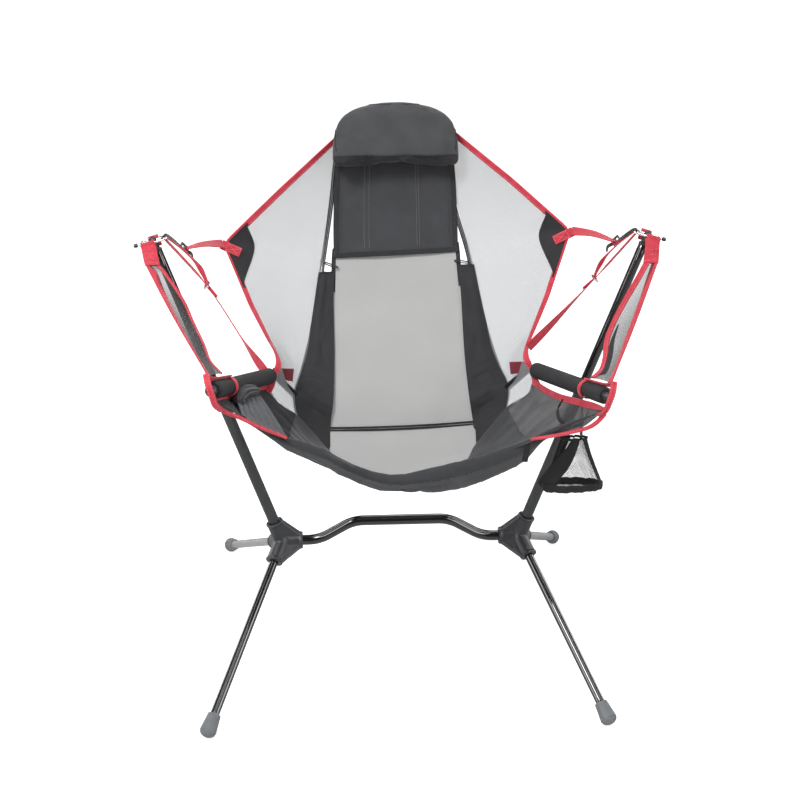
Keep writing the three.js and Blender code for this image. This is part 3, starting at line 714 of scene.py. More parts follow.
# ---------- side panels and their straps ----------
PANEL_FRONT = [(418, -60, 762), (362, -170, 703), (304, -284, 654)]
PANEL_REAR = {
    "left": [(396, -56, 757), (385, -75, 752), (354, -105, 713), (338, -131, 685), (321, -165, 663),
             (309, -198, 647), (290, -228, 638)],
    "right": [(396, -56, 757), (377, -80, 737), (356, -101, 711), (333, -130, 683), (318, -160, 666),
              (311, -190, 652), (301, -213, 641), (285, -230, 636)],
}
PANEL_TOP = (407, -58, 759.5)
PANEL_FOOT = (296, -262, 646)
WEB = 2.2 * MM


def edge_grid(edge_a, edge_b, rows, columns, bow=(0, 0, 0)):
    a, b = spline(edge_a, rows), spline(edge_b, rows)
    t = np.linspace(0, 1, columns)[None, :, None]
    return a[:, None] * (1 - t) + b[:, None] * t + 4 * t * (1 - t) * np.asarray(bow, float)


def binding(name, grid, edge, width, look="red_webbing", thickness=2.6 * MM):
    """Folded tape along one edge of a fabric grid: edge 0 or -1 of its columns."""
    line = grid[:, edge]
    inward = unit(grid[:, 1 if edge == 0 else -2] - line)
    return ribbon(name, line + inward * (width / 2 - 0.8 * MM), inward, width, thickness, look)


def edge_seam(name, grid, edge, inset):
    """Stitches on both faces of the tape along one edge of a fabric grid."""
    inward = unit(grid[:, 1 if edge == 0 else -2] - grid[:, edge]) * inset
    offset = grid_normals(grid)[:, edge] * 1.5 * MM
    return stitches(name, [grid[:, edge] + inward + offset, grid[:, edge] + inward - offset], "red_thread")


def bridge(obj, side, *replaced):
    between(obj, seat(side, PANEL_TOP)[0], seat(side, PANEL_FOOT)[0], *replaced)


def side_panel(name, side):
    grid = edge_grid(seat(side, *PANEL_FRONT), seat(side, *PANEL_REAR[name]), 60, 16, (side * 0.004, 0, 0))
    bridge(sheet(f"side_panel_cloth_{name}", grid, 0.9 * MM, "panel_mesh"), side, f"side_panel_{name}")
    inner_width = {"left": 5.5 * MM, "right": 10 * MM}[name]
    for edge, label, width in ((0, "outer", 12 * MM), (-1, "inner", inner_width)):
        bridge(binding(f"panel_binding_{label}_{name}", grid, edge, width), side)
        bridge(edge_seam(f"panel_seam_{label}_{name}", grid, edge, width - 2.4 * MM), side)


def panel_fold():
    """The right panel's cloth doubles over beside its inner tape."""
    grid = edge_grid(seat(1, *PANEL_FRONT), seat(1, *PANEL_REAR["right"]), 60, 16, (0.004, 0, 0))
    line = grid[30:57, -5] + np.array([-1.0, -2.0, 1.0]) * MM
    width = np.interp(np.linspace(0, 1, len(line)), (0, 0.45, 1), (2 * MM, 11 * MM, 15 * MM))
    fold = ribbon("panel_fold", line, grid[30:57, 0] - grid[30:57, -1], width, 1.2 * MM, "smoky_left")
    bridge(fold, 1)


def hanger_webbing(name, side):
    """Wide webbing folded over the front bar of the ring and sewn to the panel's top."""
    ring = HangerRing(name, side)
    end = seat(side, PANEL_TOP)[0]
    place = ring.inner + 27 * MM
    fold = ((-3.6, -1.5), (-3.2, 1.6), (-1.2, 3.5), (1.6, 3.2), (3.3, 0.8), (2.6, -3.0))
    over = [ring.at(place, -ring.half + y * MM, lift * MM) for y, lift in fold]
    half_way = (end + over[0]) / 2
    front = [end + np.array([0, -1.8, 0.4]) * MM, half_way + np.array([0, -1.4, 0.2]) * MM]
    back = [half_way + np.array([0, 1.6, -1.6]) * MM, end + np.array([0, 1.2, -1.4]) * MM]
    line = spline(np.array(front + over + back), 60)
    top = seat(side, PANEL_FRONT[0], PANEL_REAR[name][0])
    low_across = unit(top[0] - top[1])
    near = np.exp(-np.linalg.norm(line - end, axis=1) / (14 * MM))[:, None]
    across = ring.run * (1 - near) + low_across * near
    ride(ribbon(f"hanger_strap_{name}", line, across, 24 * MM, WEB, "red_webbing"), "suspension",
         f"hanger_webbing_{name}")
    normal = unit(np.cross(low_across, end - over[0]))
    normal = normal if normal[1] < 0 else -normal
    box = []
    for share in (0.08, 0.30, 0.52):
        spot = end * (1 - share) + over[0] * share + normal * 3.0 * MM
        box.append(resample([spot - low_across * 9.5 * MM, spot + low_across * 9.5 * MM], 3))
    ride(stitches(f"hanger_seam_{name}", box, "red_thread"), "suspension")
    # A short loop of the same webbing holds the rear bar.
    steps = ((2.2, -15), (3.6, -6), (3.2, 1.5), (0.2, 3.7), (-3.2, 1), (-2.4, -6), (0.4, -15))
    loop = [ring.at(place - 6 * MM, ring.half + y * MM, lift * MM) for y, lift in steps]
    ride(ribbon(f"rear_loop_{name}", spline(loop, 40), ring.run, 18 * MM, 1.8 * MM, "red_webbing"),
         "suspension")


# ---------- corner straps, buckles and recline straps ----------
CORNER_RUN = [(338, 80, 757), (324, 108, 750), (309, 139, 741)]
PATCH_RUN = [(312, 137, 741), (300, 139, 734), (280, 142, 723)]
STRAP_FOOT = {"left": (235, -56, 574), "right": (212, -56, 606)}


def corner_straps(name, side):
    ring = HangerRing(name, side)
    bar = ring.at(ring.inner)
    lock = middle_of(f"ladder_lock_{name}")
    run = unit(lock - bar)
    above = unit(Z_AXIS - run * run[2])
    # Black webbing: round the ring's end, down to the lock and out as a curled tail.
    head = [bar + (ring.run * x + above * z) * MM for x, z in ((4, -3.4), (4.2, 1.4), (0, 3.4))]
    tail = [lock + (run * x + above * z) * MM
            for x, z in ((-8, -1.5), (0, -3.6), (11, -3), (19, -4), (25, -10))]
    line = spline(np.array(head + tail), 70)
    ride(ribbon(f"buckle_webbing_{name}", line, unit([0, 1, 0.05]), 11 * MM, 1.6 * MM, "black_webbing"),
         "suspension", f"buckle_strap_{name}")
    dress(f"ladder_lock_{name}", "steel", 0.8 * MM, 3)

    # Red webbing from the lock to the wing's corner, lying nearly flat and turning up at its end.
    points = np.concatenate([[lock + run * 3 * MM - above * 1 * MM], seat(side, *CORNER_RUN)])
    line = spline(points, 50)
    t = np.linspace(0, 1, len(line))[:, None]
    across = unit([side * 0.88, 0.35, -0.20]) * (1 - t) + unit([side * 0.55, 0.25, 0.75]) * t
    between(ribbon(f"corner_webbing_{name}", line, across, 16 * MM + 2 * MM * t[:, 0], WEB, "red_webbing"),
            points[0], points[-1], f"corner_strap_{name}")
    # Its end is sewn to the wing with a boxed cross.
    patch_line = spline(seat(side, *PATCH_RUN), 12) + np.array([0, -4.2, 1.2]) * MM
    patch_run = unit(patch_line[-1] - patch_line[0])
    up = unit(Z_AXIS - patch_run * patch_run[2] + Y_AXIS * 0.35)
    ride(ribbon(f"corner_patch_{name}", patch_line, up, 17 * MM, 2.4 * MM, "red_webbing"), "seat")
    face = patch_line[[3, -1]] + unit(np.cross(patch_run, up)) * 1.5 * MM * (-side)
    rim = up * 6.6 * MM
    a, b = face[0] - rim, face[0] + rim
    c, d = face[1] + rim - patch_run * 2 * MM, face[1] - rim - patch_run * 2 * MM
    cross = [resample(pair, 5) for pair in ((a, b), (b, c), (c, d), (d, a), (a, c), (b, d))]
    ride(stitches(f"corner_seam_{name}", cross, "red_thread", 2.6 * MM, 1.0 * MM, 0.5 * MM), "seat")


def recline_strap(name, side):
    """From the ring through its slider to the armrest, seen on edge until it twists flat at its foot."""
    ring = HangerRing(name, side)
    slider = middle_of(f"strap_slider_{name}")
    top = ring.at(ring.inner, 0, -4.4 * MM)
    foot = seat(side, STRAP_FOOT[name])[0]
    low = slider * 0.28 + foot * 0.72 + np.array([side * 2, 0, 1]) * MM
    line = spline(np.array([top, slider, low, foot]), 110)
    share = np.linspace(0, 1, len(line))[:, None]
    begin = {"left": 0.70, "right": 0.34}[name]
    twist = smooth_step((share - begin) / (0.98 - begin)) + 0.30 * smooth_step((0.36 - share) / 0.1)
    edge_on = unit([side * 0.10, 0.9, -0.42])
    flat = unit([side * 0.45, 0.35, -0.85])
    width = 12 * MM + 7 * MM * smooth_step((share[:, 0] - begin) / (0.98 - begin))
    across = edge_on * (1 - twist) + flat * twist
    between(ribbon(f"recline_webbing_{name}", line, across, width, 1.8 * MM, "red_webbing"), top, foot,
            f"recline_strap_{name}")
    # The free end runs back up from the slider and bows away from the strap.
    out = np.array([side * -1.0, 0, 0.9])
    points = [top + (slider - top) * share + out * bow * MM
              for share, bow in ((0, 3), (0.34, 8), (0.66, 9), (0.88, 5), (1, 1.6))]
    line = spline(np.array(points), 60)
    share = np.linspace(0, 1, len(line))[:, None]
    curl = 0.35 + 0.3 * np.exp(-((share - 0.72) / 0.16) ** 2)
    across = edge_on * (1 - curl) + unit([side * 0.8, 0, 0.5]) * curl
    between(ribbon(f"recline_free_end_{name}", line, across, 12 * MM, 1.6 * MM, "red_webbing"), top, foot)
    # The sewn end of the strap hangs below the slider.
    down = unit(low - slider)
    tip = [slider + (down * x + out * bow) * MM for x, bow in ((-4, 0), (10, 1.2), (26, 2.5))]
    between(ribbon(f"recline_sewn_end_{name}", spline(np.array(tip), 20),
                   edge_on * 0.55 + unit([side, 0, 0.6]) * 0.45, 11 * MM, 2.0 * MM, "red_webbing"), top, foot)
    dress(f"strap_slider_{name}", "steel", 0.7 * MM, 3)


both(hanger_frame, hanger_webbing, side_panel, corner_straps, recline_strap)
panel_fold()


# ---------- armrests ----------
ARM_REAR = (219, -40, 560)
LOOP_AT = 0.25  # share of the grip's length at which the strap loop sits


def arm_frame(name, side):
    """Front and rear ends of the grip, its run, and the directions up and outwards round it."""
    rear, front, radius = axis_of(f"arm_grip_{name}")
    if front[1] > rear[1]:
        rear, front = front, rear
    run = unit(rear - front)
    outward = unit(np.cross(run, Z_AXIS))
    outward = outward * np.sign(outward[0]) * side
    up = np.cross(run, outward)
    return front, rear, run, up * np.sign(up[2]), outward, radius


def armrest(name, side):
    front, rear, run, up, outward, radius = arm_frame(name, side)
    hip = points_of(f"hip_joint_{name}").mean(0)
    bar_radius = 6.3 * MM
    knee = seat(side, ARM_REAR)[0]
    nose = front - run * 10 * MM
    end = knee + (hip - knee) * 0.86
    ride(tube(f"arm_tube_{name}", bent([nose, knee, end], 14 * MM, 10), bar_radius, "black_tube", 32,
              0.5 * MM), "seat", f"arm_bar_{name}")
    # Foam sleeve: soft ends and a faint waist under the strap loop.
    length = np.linalg.norm(rear - front)
    along = np.linspace(0, 1, 60)
    ends = np.minimum(along, 1 - along) * length
    radii = radius - 2.6 * MM * np.clip(1 - ends / (3 * MM), 0, 1) ** 2
    radii -= 1.1 * MM * np.exp(-((along - LOOP_AT) / 0.035) ** 2)
    ride(tube(f"arm_foam_{name}", front + np.outer(along * length, run), radii, "foam", 48), "seat",
         f"arm_grip_{name}")
    dress(f"arm_cap_{name}", "black_plastic", 0.5 * MM)
    dress(f"hip_joint_{name}", "nylon", 0.5 * MM)
    # Strap loop round the foam.
    angle = np.linspace(-0.62 * math.pi, 1.2 * math.pi, 50)
    centre = front + run * LOOP_AT * length
    ring = centre + (radius + 0.8 * MM) * (np.outer(np.cos(angle), -outward) + np.outer(np.sin(angle), up))
    ride(ribbon(f"grip_loop_{name}", ring, run, 9 * MM, 2.0 * MM, "red_webbing"), "seat")
    # Tape along the top of the foam in front of the loop, at the bottom of the side panel.
    top_line = [centre + up * (radius + 2.0 * MM) - outward * 1 * MM,
                front + up * (radius + 3.5 * MM) + outward * 3 * MM,
                front - run * 12 * MM + up * (radius + 6 * MM) + outward * 6 * MM]
    ride(ribbon(f"grip_top_tape_{name}", spline(np.array(top_line), 24),
                unit(outward * 0.6 - up * 0.6 + run * 0.2), 9 * MM, 2.4 * MM, "red_webbing"), "seat")


# The tape that carries the sling runs under the arm; the wing's tape joins it at the rear.
BAND_LINE = {
    "left": [(297, -290, 616), (283, -230, 600), (263, -162, 582), (243, -100, 563), (230, -60, 550)],
    "right": [(298, -292, 610), (289, -262, 602), (269, -208, 583), (252, -163, 567), (236, -112, 554),
              (222, -62, 546)],
}
ARM_FRONT_TAPE = [(307, -292, 661), (303.5, -303, 648), (299, -307, 634), (294.5, -303, 615),
                  (287, -294, 603)]
FRONT_TAPE = {
    "left": [(296, -298, 617), (283, -291, 601), (262, -279, 586), (232, -266, 564), (194, -253, 541)],
    "right": [(296, -299, 610), (286, -292, 590), (275, -284, 576), (249, -273, 561), (218, -263, 548),
              (191, -253, 538)],
}


def under_arm_band(name, side):
    line = spline(seat(side, *BAND_LINE[name]), 60)
    across = unit([0, 0.35, 0.94])
    for label, drop in (("upper", 0), ("lower", 5.6)):
        ride(ribbon(f"arm_band_{label}_{name}", line + across * (1.5 - drop) * MM, across, 5.8 * MM,
                    2.6 * MM, "red_webbing"), "seat")
    # The panel's outer tape goes on down across the front of the arm.
    front = spline(seat(side, *ARM_FRONT_TAPE), 30)
    ride(ribbon(f"arm_front_tape_{name}", front, X_AXIS, 10 * MM, 2.6 * MM, "red_webbing"), "seat")
    stitch_lines = [front + X_AXIS * k * 3.4 * MM + np.array([0, -1.6, 0]) * MM for k in (-1, 1)]
    ride(stitches(f"arm_front_seam_{name}", stitch_lines, "red_thread"), "seat")


def front_tape(name, side):
    line = spline(seat(side, *FRONT_TAPE[name]), 60)
    width = np.interp(np.linspace(0, 1, 60), (0, 0.3, 1), (9 * MM, 6.5 * MM, 5 * MM))
    ride(ribbon(f"sling_front_tape_{name}", line, unit([0, 0.55, 0.6]), width, 2.8 * MM, "red_webbing"),
         "seat")
    ride(stitches(f"sling_front_seam_{name}", [line + np.array([0, -1.5, 1.2]) * MM], "red_thread"), "seat")


def rear_tab(name, side):
    """A webbing tab round the arm's rear end, lying on the wing's mesh."""
    line = spline(seat(side, (222, -42, 565), (206, -28, 556), (189, -14, 548)), 16)
    # The tab's darker red is painted shade under the arm's end.
    ride(ribbon(f"rear_tab_{name}", line, unit([0, 0.3, 0.95]), np.linspace(17, 22, 16) * MM, 1.8 * MM,
                "red_webbing_painted_shade"), "seat")


both(armrest, under_arm_band, front_tape, rear_tab)


# ---------- back poles, sleeves, mesh and wings ----------
MESH_EDGE = [(131, -14, 438), (126, 10, 480), (122, 72, 543), (121, 160, 621), (119, 196, 660),
             (118, 212, 682), (116, 220, 700)]
PANEL_EDGE = [(114.5, 213, 684), (114, 239, 740), (110, 262, 820), (100, 279, 898)]
SLEEVE_INNER = [(128, -59, 421), (127, -14, 442), (121, 8, 482), (117, 72, 543), (117, 160, 621),
                (115, 197, 661)]
SLEEVE_OUTER = [(183, -28, 465), (190, 2, 486), (163, 104, 571), (144, 193, 661)]
WING_INNER = [(182, -26, 466), (187, -2, 492), (161, 100, 567), (141, 199, 655), (132, 224, 700)]
WING_INNER_TOP = {"left": [(124, 249, 757), (110, 274, 830), (98, 286, 888)],
                  "right": [(116, 250, 757), (99, 275, 830), (91, 286, 888)]}
WING_OUTER = [(233, -68, 540), (222, -50, 552), (215, -30, 574), (219, -12, 590), (230, 8, 604),
              (264, 62, 652), (310, 145, 739), (212, 214, 815), (100, 281, 899)]
WING_STRAIGHT = 4  # the outer edge turns crisp corners only after this point
RUN_ROWS = 18  # rows of the wing's grid to each straight run
CORNER = 6  # the point of the outer edge that the corner strap pulls on
SLEEVE_TOP = 655 * MM


def back_pole(name, side):
    """A fine rod through the middles of the CAD pole's cross-sections; the right one leans in at its top."""
    points = points_of(f"back_pole_{name}")
    order = points[np.argsort(points[:, 2])]
    groups = np.array_split(order, 16)
    middle = np.array([group.mean(0) for group in groups])
    direction = unit(middle[1] - middle[0])
    ends = [order[:6].mean(0), order[-6:].mean(0)]
    line = spline(np.array([ends[0] - direction * 2 * MM, *middle[1:-1], ends[1]]), 60)
    if side > 0:
        z = line[:, 2]
        line[:, 0] -= 10 * MM * smooth_step((z - 0.67) / 0.10) * (1 - smooth_step((z - 0.80) / 0.08))
    ride(tube(f"back_pole_rod_{name}", line, 4.4 * MM, "black_tube", 28, 0.4 * MM), "seat",
         f"back_pole_{name}")
    dress(f"back_pole_cap_{name}", "black_plastic")
    return line


def creased(grid, lines):
    """Pushes folds into a grid. Each is (row, column, row, column, depth, width), in shares and then mm."""
    rows, columns = grid.shape[:2]
    r, c = np.meshgrid(np.linspace(0, 1, rows), np.linspace(0, 1, columns), indexing="ij")
    tall = np.linalg.norm(np.diff(grid[:, columns // 2], axis=0), axis=1).sum()
    wide = np.linalg.norm(np.diff(grid[rows // 2], axis=0), axis=1).sum()
    here = np.stack([r * tall, c * wide], -1)
    push = np.zeros((rows, columns))
    for r0, c0, r1, c1, depth, width in lines:
        a, b = np.array([r0 * tall, c0 * wide]), np.array([r1 * tall, c1 * wide])
        t, gap = nearest_on(here, a, b)
        distance = np.linalg.norm(gap, axis=-1)
        fade = np.sin(np.pi * np.clip(t, 0.06, 0.94))
        push += depth * MM * fade * np.exp(-((distance / (width * MM)) ** 2))
    return grid + to_sitter(grid) * push[..., None]


def to_sitter(grid):
    """The grid's normals, turned towards the sitter's side: up and forwards."""
    normals = grid_normals(grid)
    facing = normals @ np.array([0, -0.6, 0.8])
    return normals * np.sign(facing.mean())


def rumpled(grid, height, scale, seed):
    """Low soft unevenness, from a few seeded waves."""
    rng = np.random.default_rng(seed)
    push = np.zeros(grid.shape[:2])
    for _ in range(7):
        direction = rng.normal(size=3)
        push += np.sin(grid @ direction * scale + rng.uniform(0, 6.3)) / 7
    return grid + to_sitter(grid) * (push * height)[..., None]


def mesh_back():
    grid = edge_grid(seat(-1, *MESH_EDGE), seat(1, *MESH_EDGE), 90, 44, (0, 0.006, -0.006))
    grid = rumpled(grid, 1.6 * MM, 38, 3)
    grid = grid - to_sitter(grid) * 3.0 * MM
    ride(sheet("centre_mesh", grid, 0.9 * MM, "centre_mesh"), "seat", "mesh_back")
    rows = grid[:, 0, 2] > SLEEVE_TOP - 30 * MM
    for label, edge in (("left", 0), ("right", -1)):
        ride(binding(f"centre_tape_{label}", grid[rows], edge, 8 * MM, "black_tape", 2.2 * MM), "seat")
    seam_line = grid[1] + to_sitter(grid)[1] * 5.5 * MM
    for label, step in (("front", -2.0), ("rear", 2.0)):
        ride(ribbon(f"seat_seam_{label}", seam_line + np.array([0, step, step * 0.8]) * MM,
                    unit([0, 1, 0.7]), 3.0 * MM, 2.2 * MM, "black_webbing"), "seat")


def back_panel():
    grid = edge_grid(seat(-1, *PANEL_EDGE), seat(1, *PANEL_EDGE), 60, 50, (0, 0.004, -0.002))
    folds = [(0.62, 0.12, 0.48, 0.27, -1.8, 8), (0.42, 0.10, 0.30, 0.24, -1.6, 7),
             (0.75, 0.2, 0.6, 0.3, 1.2, 10), (0.8, 0.8, 0.55, 0.9, -1.3, 10),
             (0.3, 0.55, 0.75, 0.45, 1.0, 16), (0.2, 0.72, 0.5, 0.82, -1.0, 9)]
    grid = creased(rumpled(grid, 1.2 * MM, 46, 8), folds)
    ride(sheet("back_panel_cloth", grid, 1.6 * MM, "dark_cloth"), "seat", "back_panel")
    for label, edge in (("left", 0), ("right", -1)):
        ride(binding(f"panel_tape_{label}", grid, edge, 9.5 * MM, "black_tape", 2.8 * MM), "seat")
    front = grid + to_sitter(grid) * 1.0 * MM
    ride(ribbon("panel_bottom_tape", grid[1] + (front - grid)[1] * 0.8, unit([0, 0.35, 1]), 10 * MM,
                2.4 * MM, "black_tape"), "seat")
    columns = [int(share * (grid.shape[1] - 1)) for share in (0.262, 0.298, 0.675, 0.711)]
    ride(stitches("panel_stitching", [front[4:, c] for c in columns], "thread", 3.6 * MM, 1.0 * MM), "seat")
    for k, row in enumerate((3, 0)):
        edge_lines = [front[row:, 2 + k] + to_sitter(grid)[row:, 2] * 0.7 * MM,
                      front[row:, -3 - k] + to_sitter(grid)[row:, -3] * 0.7 * MM]
        ride(stitches(f"panel_edge_stitching_{k}", edge_lines, "dark_thread", 3.4 * MM, 1.4 * MM), "seat")


def clear_of_strut(grid, name, side, margin):
    """Lifts cloth towards the sitter where it passes over the arm's strut and the hip joint."""
    start = seat(side, ARM_REAR)[0]
    gap = nearest_on(grid, start, points_of(f"hip_joint_{name}").mean(0), 1.1)[1]
    ahead = np.array([0, -0.63, 0.78])
    rise = gap @ ahead
    aside = np.linalg.norm(gap - rise[..., None] * ahead, axis=-1)
    lift = np.exp(-((aside / (34 * MM)) ** 2)) * np.maximum(margin - rise, 0)
    return grid + ahead * lift[..., None]


def pole_sleeve(name, side):
    """A flat fabric sleeve that the back pole slides into, creased where it bends over the hip joint."""
    grid = edge_grid(seat(side, *SLEEVE_INNER), seat(side, *SLEEVE_OUTER), 120, 30)
    normals = to_sitter(grid)
    t = np.linspace(0, 1, 30)[None, :]
    pole_swell = 3.0 * MM * np.exp(-(((t - 0.68) / 0.2) ** 2)) * smooth_step(np.linspace(0, 4, 120))[:, None]
    grid = clear_of_strut(grid + normals * pole_swell[..., None], name, side, 22 * MM)
    folds = [(0.335, 0.02, 0.315, 0.98, 2.2, 2.4), (0.352, 0.02, 0.338, 0.9, -2.0, 2.2),
             (0.30, 0.1, 0.262, 0.95, -2.0, 3.4), (0.245, 0.05, 0.21, 0.8, 2.0, 4.4),
             (0.19, 0.05, 0.15, 0.7, -2.0, 5), (0.60, 0.55, 0.46, 0.35, -2.2, 5),
             (0.70, 0.3, 0.55, 0.6, 1.6, 6), (0.85, 0.35, 0.72, 0.55, -1.6, 6),
             (0.42, 0.15, 0.40, 0.85, 1.6, 3.2), (0.50, 0.6, 0.43, 0.9, -1.6, 4),
             (0.11, 0.1, 0.06, 0.9, 1.8, 4), (0.78, 0.1, 0.66, 0.25, 1.2, 5),
             (0.93, 0.5, 0.82, 0.75, 1.2, 6)]
    grid = creased(rumpled(grid, 1.5 * MM, 70, 20 + side), folds)
    ride(sheet(f"sleeve_cloth_{name}", grid, 2.2 * MM, "black_cloth"), "seat", f"pole_sleeve_{name}")
    lift = to_sitter(grid) * 1.5 * MM
    ride(stitches(f"sleeve_stitching_{name}", [(grid + lift)[3:-2, 3], (grid + lift)[3:-2, -3]],
                  "dark_thread", 3.2 * MM, 1.6 * MM), "seat")
    ride(ribbon(f"sleeve_mouth_{name}", grid[-1] + lift[-1] * 0.3, unit([0, 0.4, 1]), 5 * MM, 3.4 * MM,
                "black_cloth"), "seat")


def cord_loop(name, side, pole_line):
    """A thin cord ties the pole to the centre tape just above the sleeve's mouth."""
    pole = pole_line[np.abs(pole_line[:, 2] - (SLEEVE_TOP + 14 * MM)).argmin()]
    tape = seat(side, (115, 203, 669))[0]
    outer, inner = pole + X_AXIS * side * 5.6 * MM, tape - X_AXIS * side * 6 * MM
    half_way = (outer + inner) / 2
    loop = [outer, half_way - Y_AXIS * 6.5 * MM, inner - Y_AXIS * 5 * MM, inner + Y_AXIS * 2.5 * MM,
            half_way + Y_AXIS * 4.5 * MM, outer + Y_AXIS * 1.5 * MM]
    ride(tube(f"cord_loop_{name}", spline(np.array(loop + [outer]), 44)[:-1], 1.2 * MM, "cord", 10), "seat")


def wing_grid(name, side):
    """Rows follow the straight runs of the outer edge, so its corners stay crisp."""
    outer, inner = seat(side, *WING_OUTER), seat(side, *WING_INNER, *WING_INNER_TOP[name])
    foot = spline(outer[:WING_STRAIGHT + 1], RUN_ROWS + 1)[:-1]
    runs = [resample(outer[k:k + 2], RUN_ROWS + 1)[:-1] for k in range(WING_STRAIGHT, len(outer) - 1)]
    edge = np.concatenate([foot, *runs, outer[-1:]])
    for _ in range(3):
        edge[1:-1] = (edge[:-2] + 2 * edge[1:-1] + edge[2:]) / 4
    inner_line = spline(inner, len(edge))
    t = np.linspace(0, 1, 34)[None, :, None]
    grid = inner_line[:, None] * (1 - t) + edge[:, None] * t
    belly = np.sin(np.pi * t) * np.sin(np.pi * np.linspace(0, 1, len(edge)))[:, None, None]
    return grid + belly * np.array([0, 0.004, 0.0])


def wing(name, side):
    grid = clear_of_strut(rumpled(wing_grid(name, side), 1.4 * MM, 30, 40 + side), name, side, 19 * MM)
    ride(sheet(f"wing_cloth_{name}", grid, 0.8 * MM, "wing_mesh"), "seat", f"wing_{name}")
    width = 11 * MM
    ride(binding(f"wing_tape_{name}", grid, -1, width), "seat")
    ride(edge_seam(f"wing_seam_{name}", grid, -1, width - 2.6 * MM), "seat")
    # Crescent of black cloth behind the corner patch.
    corner = RUN_ROWS * (CORNER - WING_STRAIGHT + 1)
    rows = grid[corner - 13:corner + 8]
    middle = grid[corner, -1] * 0.72 + grid[corner, 0] * 0.28
    rim_line = spline(np.array([rows[0, -1], middle, rows[-1, -1]]), len(rows))
    crescent = []
    for row, rim in zip(rows, rim_line):
        depth = np.linalg.norm(rim - row[-1]) / np.linalg.norm(row[0] - row[-1])
        share = np.linspace(0.985, 1 - max(depth, 0.03), 14)
        crescent.append(points_at(share, np.linspace(0, 1, len(row)), row))
    crescent = np.array(crescent) + to_sitter(grid)[corner - 13:corner + 8, -14:] * 1.8 * MM
    ride(sheet(f"corner_crescent_{name}", crescent, 1.2 * MM, "black_cloth"), "seat")
    ride(tube(f"crescent_seam_{name}", crescent[:, -1] + to_sitter(crescent)[:, -1] * 0.7 * MM, 0.8 * MM,
              "dark_thread", 8), "seat")


mesh_back()
back_panel()
for side_name, side_sign in SIDES:
    pole_points = back_pole(side_name, side_sign)
    pole_sleeve(side_name, side_sign)
    cord_loop(side_name, side_sign, pole_points)
    wing(side_name, side_sign)


# ---------- sling ----------
SLING_SIDE = [
    [(295, -290, 614), (262, -275, 582), (228, -262, 559), (176, -250, 526), (96, -246, 470)],
    [(279, -226, 594), (240, -198, 550), (206, -180, 514), (164, -168, 474), (92, -164, 430)],
    [(260, -158, 578), (228, -132, 536), (196, -116, 494), (158, -106, 453), (111, -102, 422)],
    [(241, -96, 560), (216, -78, 519), (188, -62, 480), (157, -62, 447), (123, -68, 421)],
    [(230, -60, 547), (217, -48, 515), (188, -32, 483), (162, -38, 457), (133, -50, 425)],
]
SLING_CENTRE = [
    [(118, -246, 477), (60, -250, 463), (0, -252, 459)],
    [(120, -164, 436), (62, -164, 418), (0, -164, 412)],
    [(122, -102, 424), (62, -103, 409), (0, -103, 404)],
    [(128, -60, 424), (62, -58, 412), (0, -56, 409)],
    [(131, -8, 443), (63, -5, 436), (0, -4, 434)],
]
SLING_FOLDS = {
    "left": [(0.42, 0.04, 0.10, 0.70, 5.0, 5), (0.50, 0.05, 0.20, 0.75, -4.5, 5),
             (0.46, 0.06, 0.30, 0.85, 4.0, 6), (0.38, 0.04, 0.04, 0.55, -4.0, 4),
             (0.56, 0.08, 0.42, 0.85, 3.2, 7), (0.34, 0.05, 0.12, 0.35, 3.5, 4),
             (0.60, 0.1, 0.62, 0.8, -3.0, 8), (0.85, 0.2, 0.75, 0.9, 2.2, 7),
             (0.72, 0.1, 0.80, 0.7, -2.4, 6), (0.30, 0.4, 0.35, 0.9, 2.4, 7)],
    "right": [(0.30, 0.05, 0.20, 0.65, 2.6, 12), (0.45, 0.04, 0.42, 0.75, -2.6, 12),
              (0.62, 0.05, 0.60, 0.8, 2.4, 12), (0.78, 0.1, 0.72, 0.85, -2.2, 10),
              (0.52, 0.3, 0.35, 0.9, 1.8, 10)],
}


# Height of the padded hem's upper and lower edges along the front. It hangs deeper on the right.
HEM_TOP = [(-215, 556), (-196, 541), (-163, 531), (-133, 521), (-111, 507), (-88, 493), (-61, 481),
           (-32, 474), (-8, 475), (16, 481), (64, 494), (105, 506), (143, 518), (178, 531), (196, 540),
           (215, 550)]
HEM_LOW = [(-215, 524), (-196, 512), (-163, 496), (-127, 479), (-96, 465), (-72, 454), (-49, 446), (0, 442),
           (48, 442), (88, 448), (128, 461), (171, 479), (192, 495), (215, 514)]
HEM_DROP = 8  # how far the sling's front edge lies below the hem's top


def along_front(table, x):
    """A height in metres from one of the hem's tables, at x in metres."""
    places, heights = np.array(table, float).T * MM
    return np.interp(x, places, heights) - 250 * MM * np.sin(SKEW * np.asarray(x))


def patch_grid(rows, tall, wide):
    """A smooth grid through rows of control points."""
    lines = np.array([spline(row, wide) for row in rows])
    return np.stack([spline(lines[:, j], tall) for j in range(wide)], 1)


def sling_side(name, side):
    """Thin smoky mesh beside the arm, and doubled dark cloth towards the middle."""
    rows = [seat(side, *row) for row in SLING_SIDE]
    band_line = spline(seat(side, *BAND_LINE[name]), 21)[[0, 6, 12, 17, 20]]
    for row, place in zip(rows, band_line + np.array([0, 3, -7]) * MM):
        row[0] = place
    rows[0][:3] = spline(seat(side, *FRONT_TAPE[name]), 7)[[0, 3, 5]] + np.array([0, 2, 1]) * MM
    rows[0][-1, 2] = along_front(HEM_TOP, rows[0][-1, 0]) - HEM_DROP * MM
    grid = patch_grid(rows, 80, 70)
    grid = creased(rumpled(grid, 3.2 * MM, 42, 60 + side), SLING_FOLDS[name])
    split = 34
    ride(sheet(f"sling_veil_{name}", grid[:, :split + 2], 0.9 * MM, f"smoky_{name}"), "seat")
    ride(sheet(f"sling_side_{name}", grid[:, split:] - to_sitter(grid)[:, split:] * 0.8 * MM, 1.3 * MM,
               "dark_cloth"), "seat")


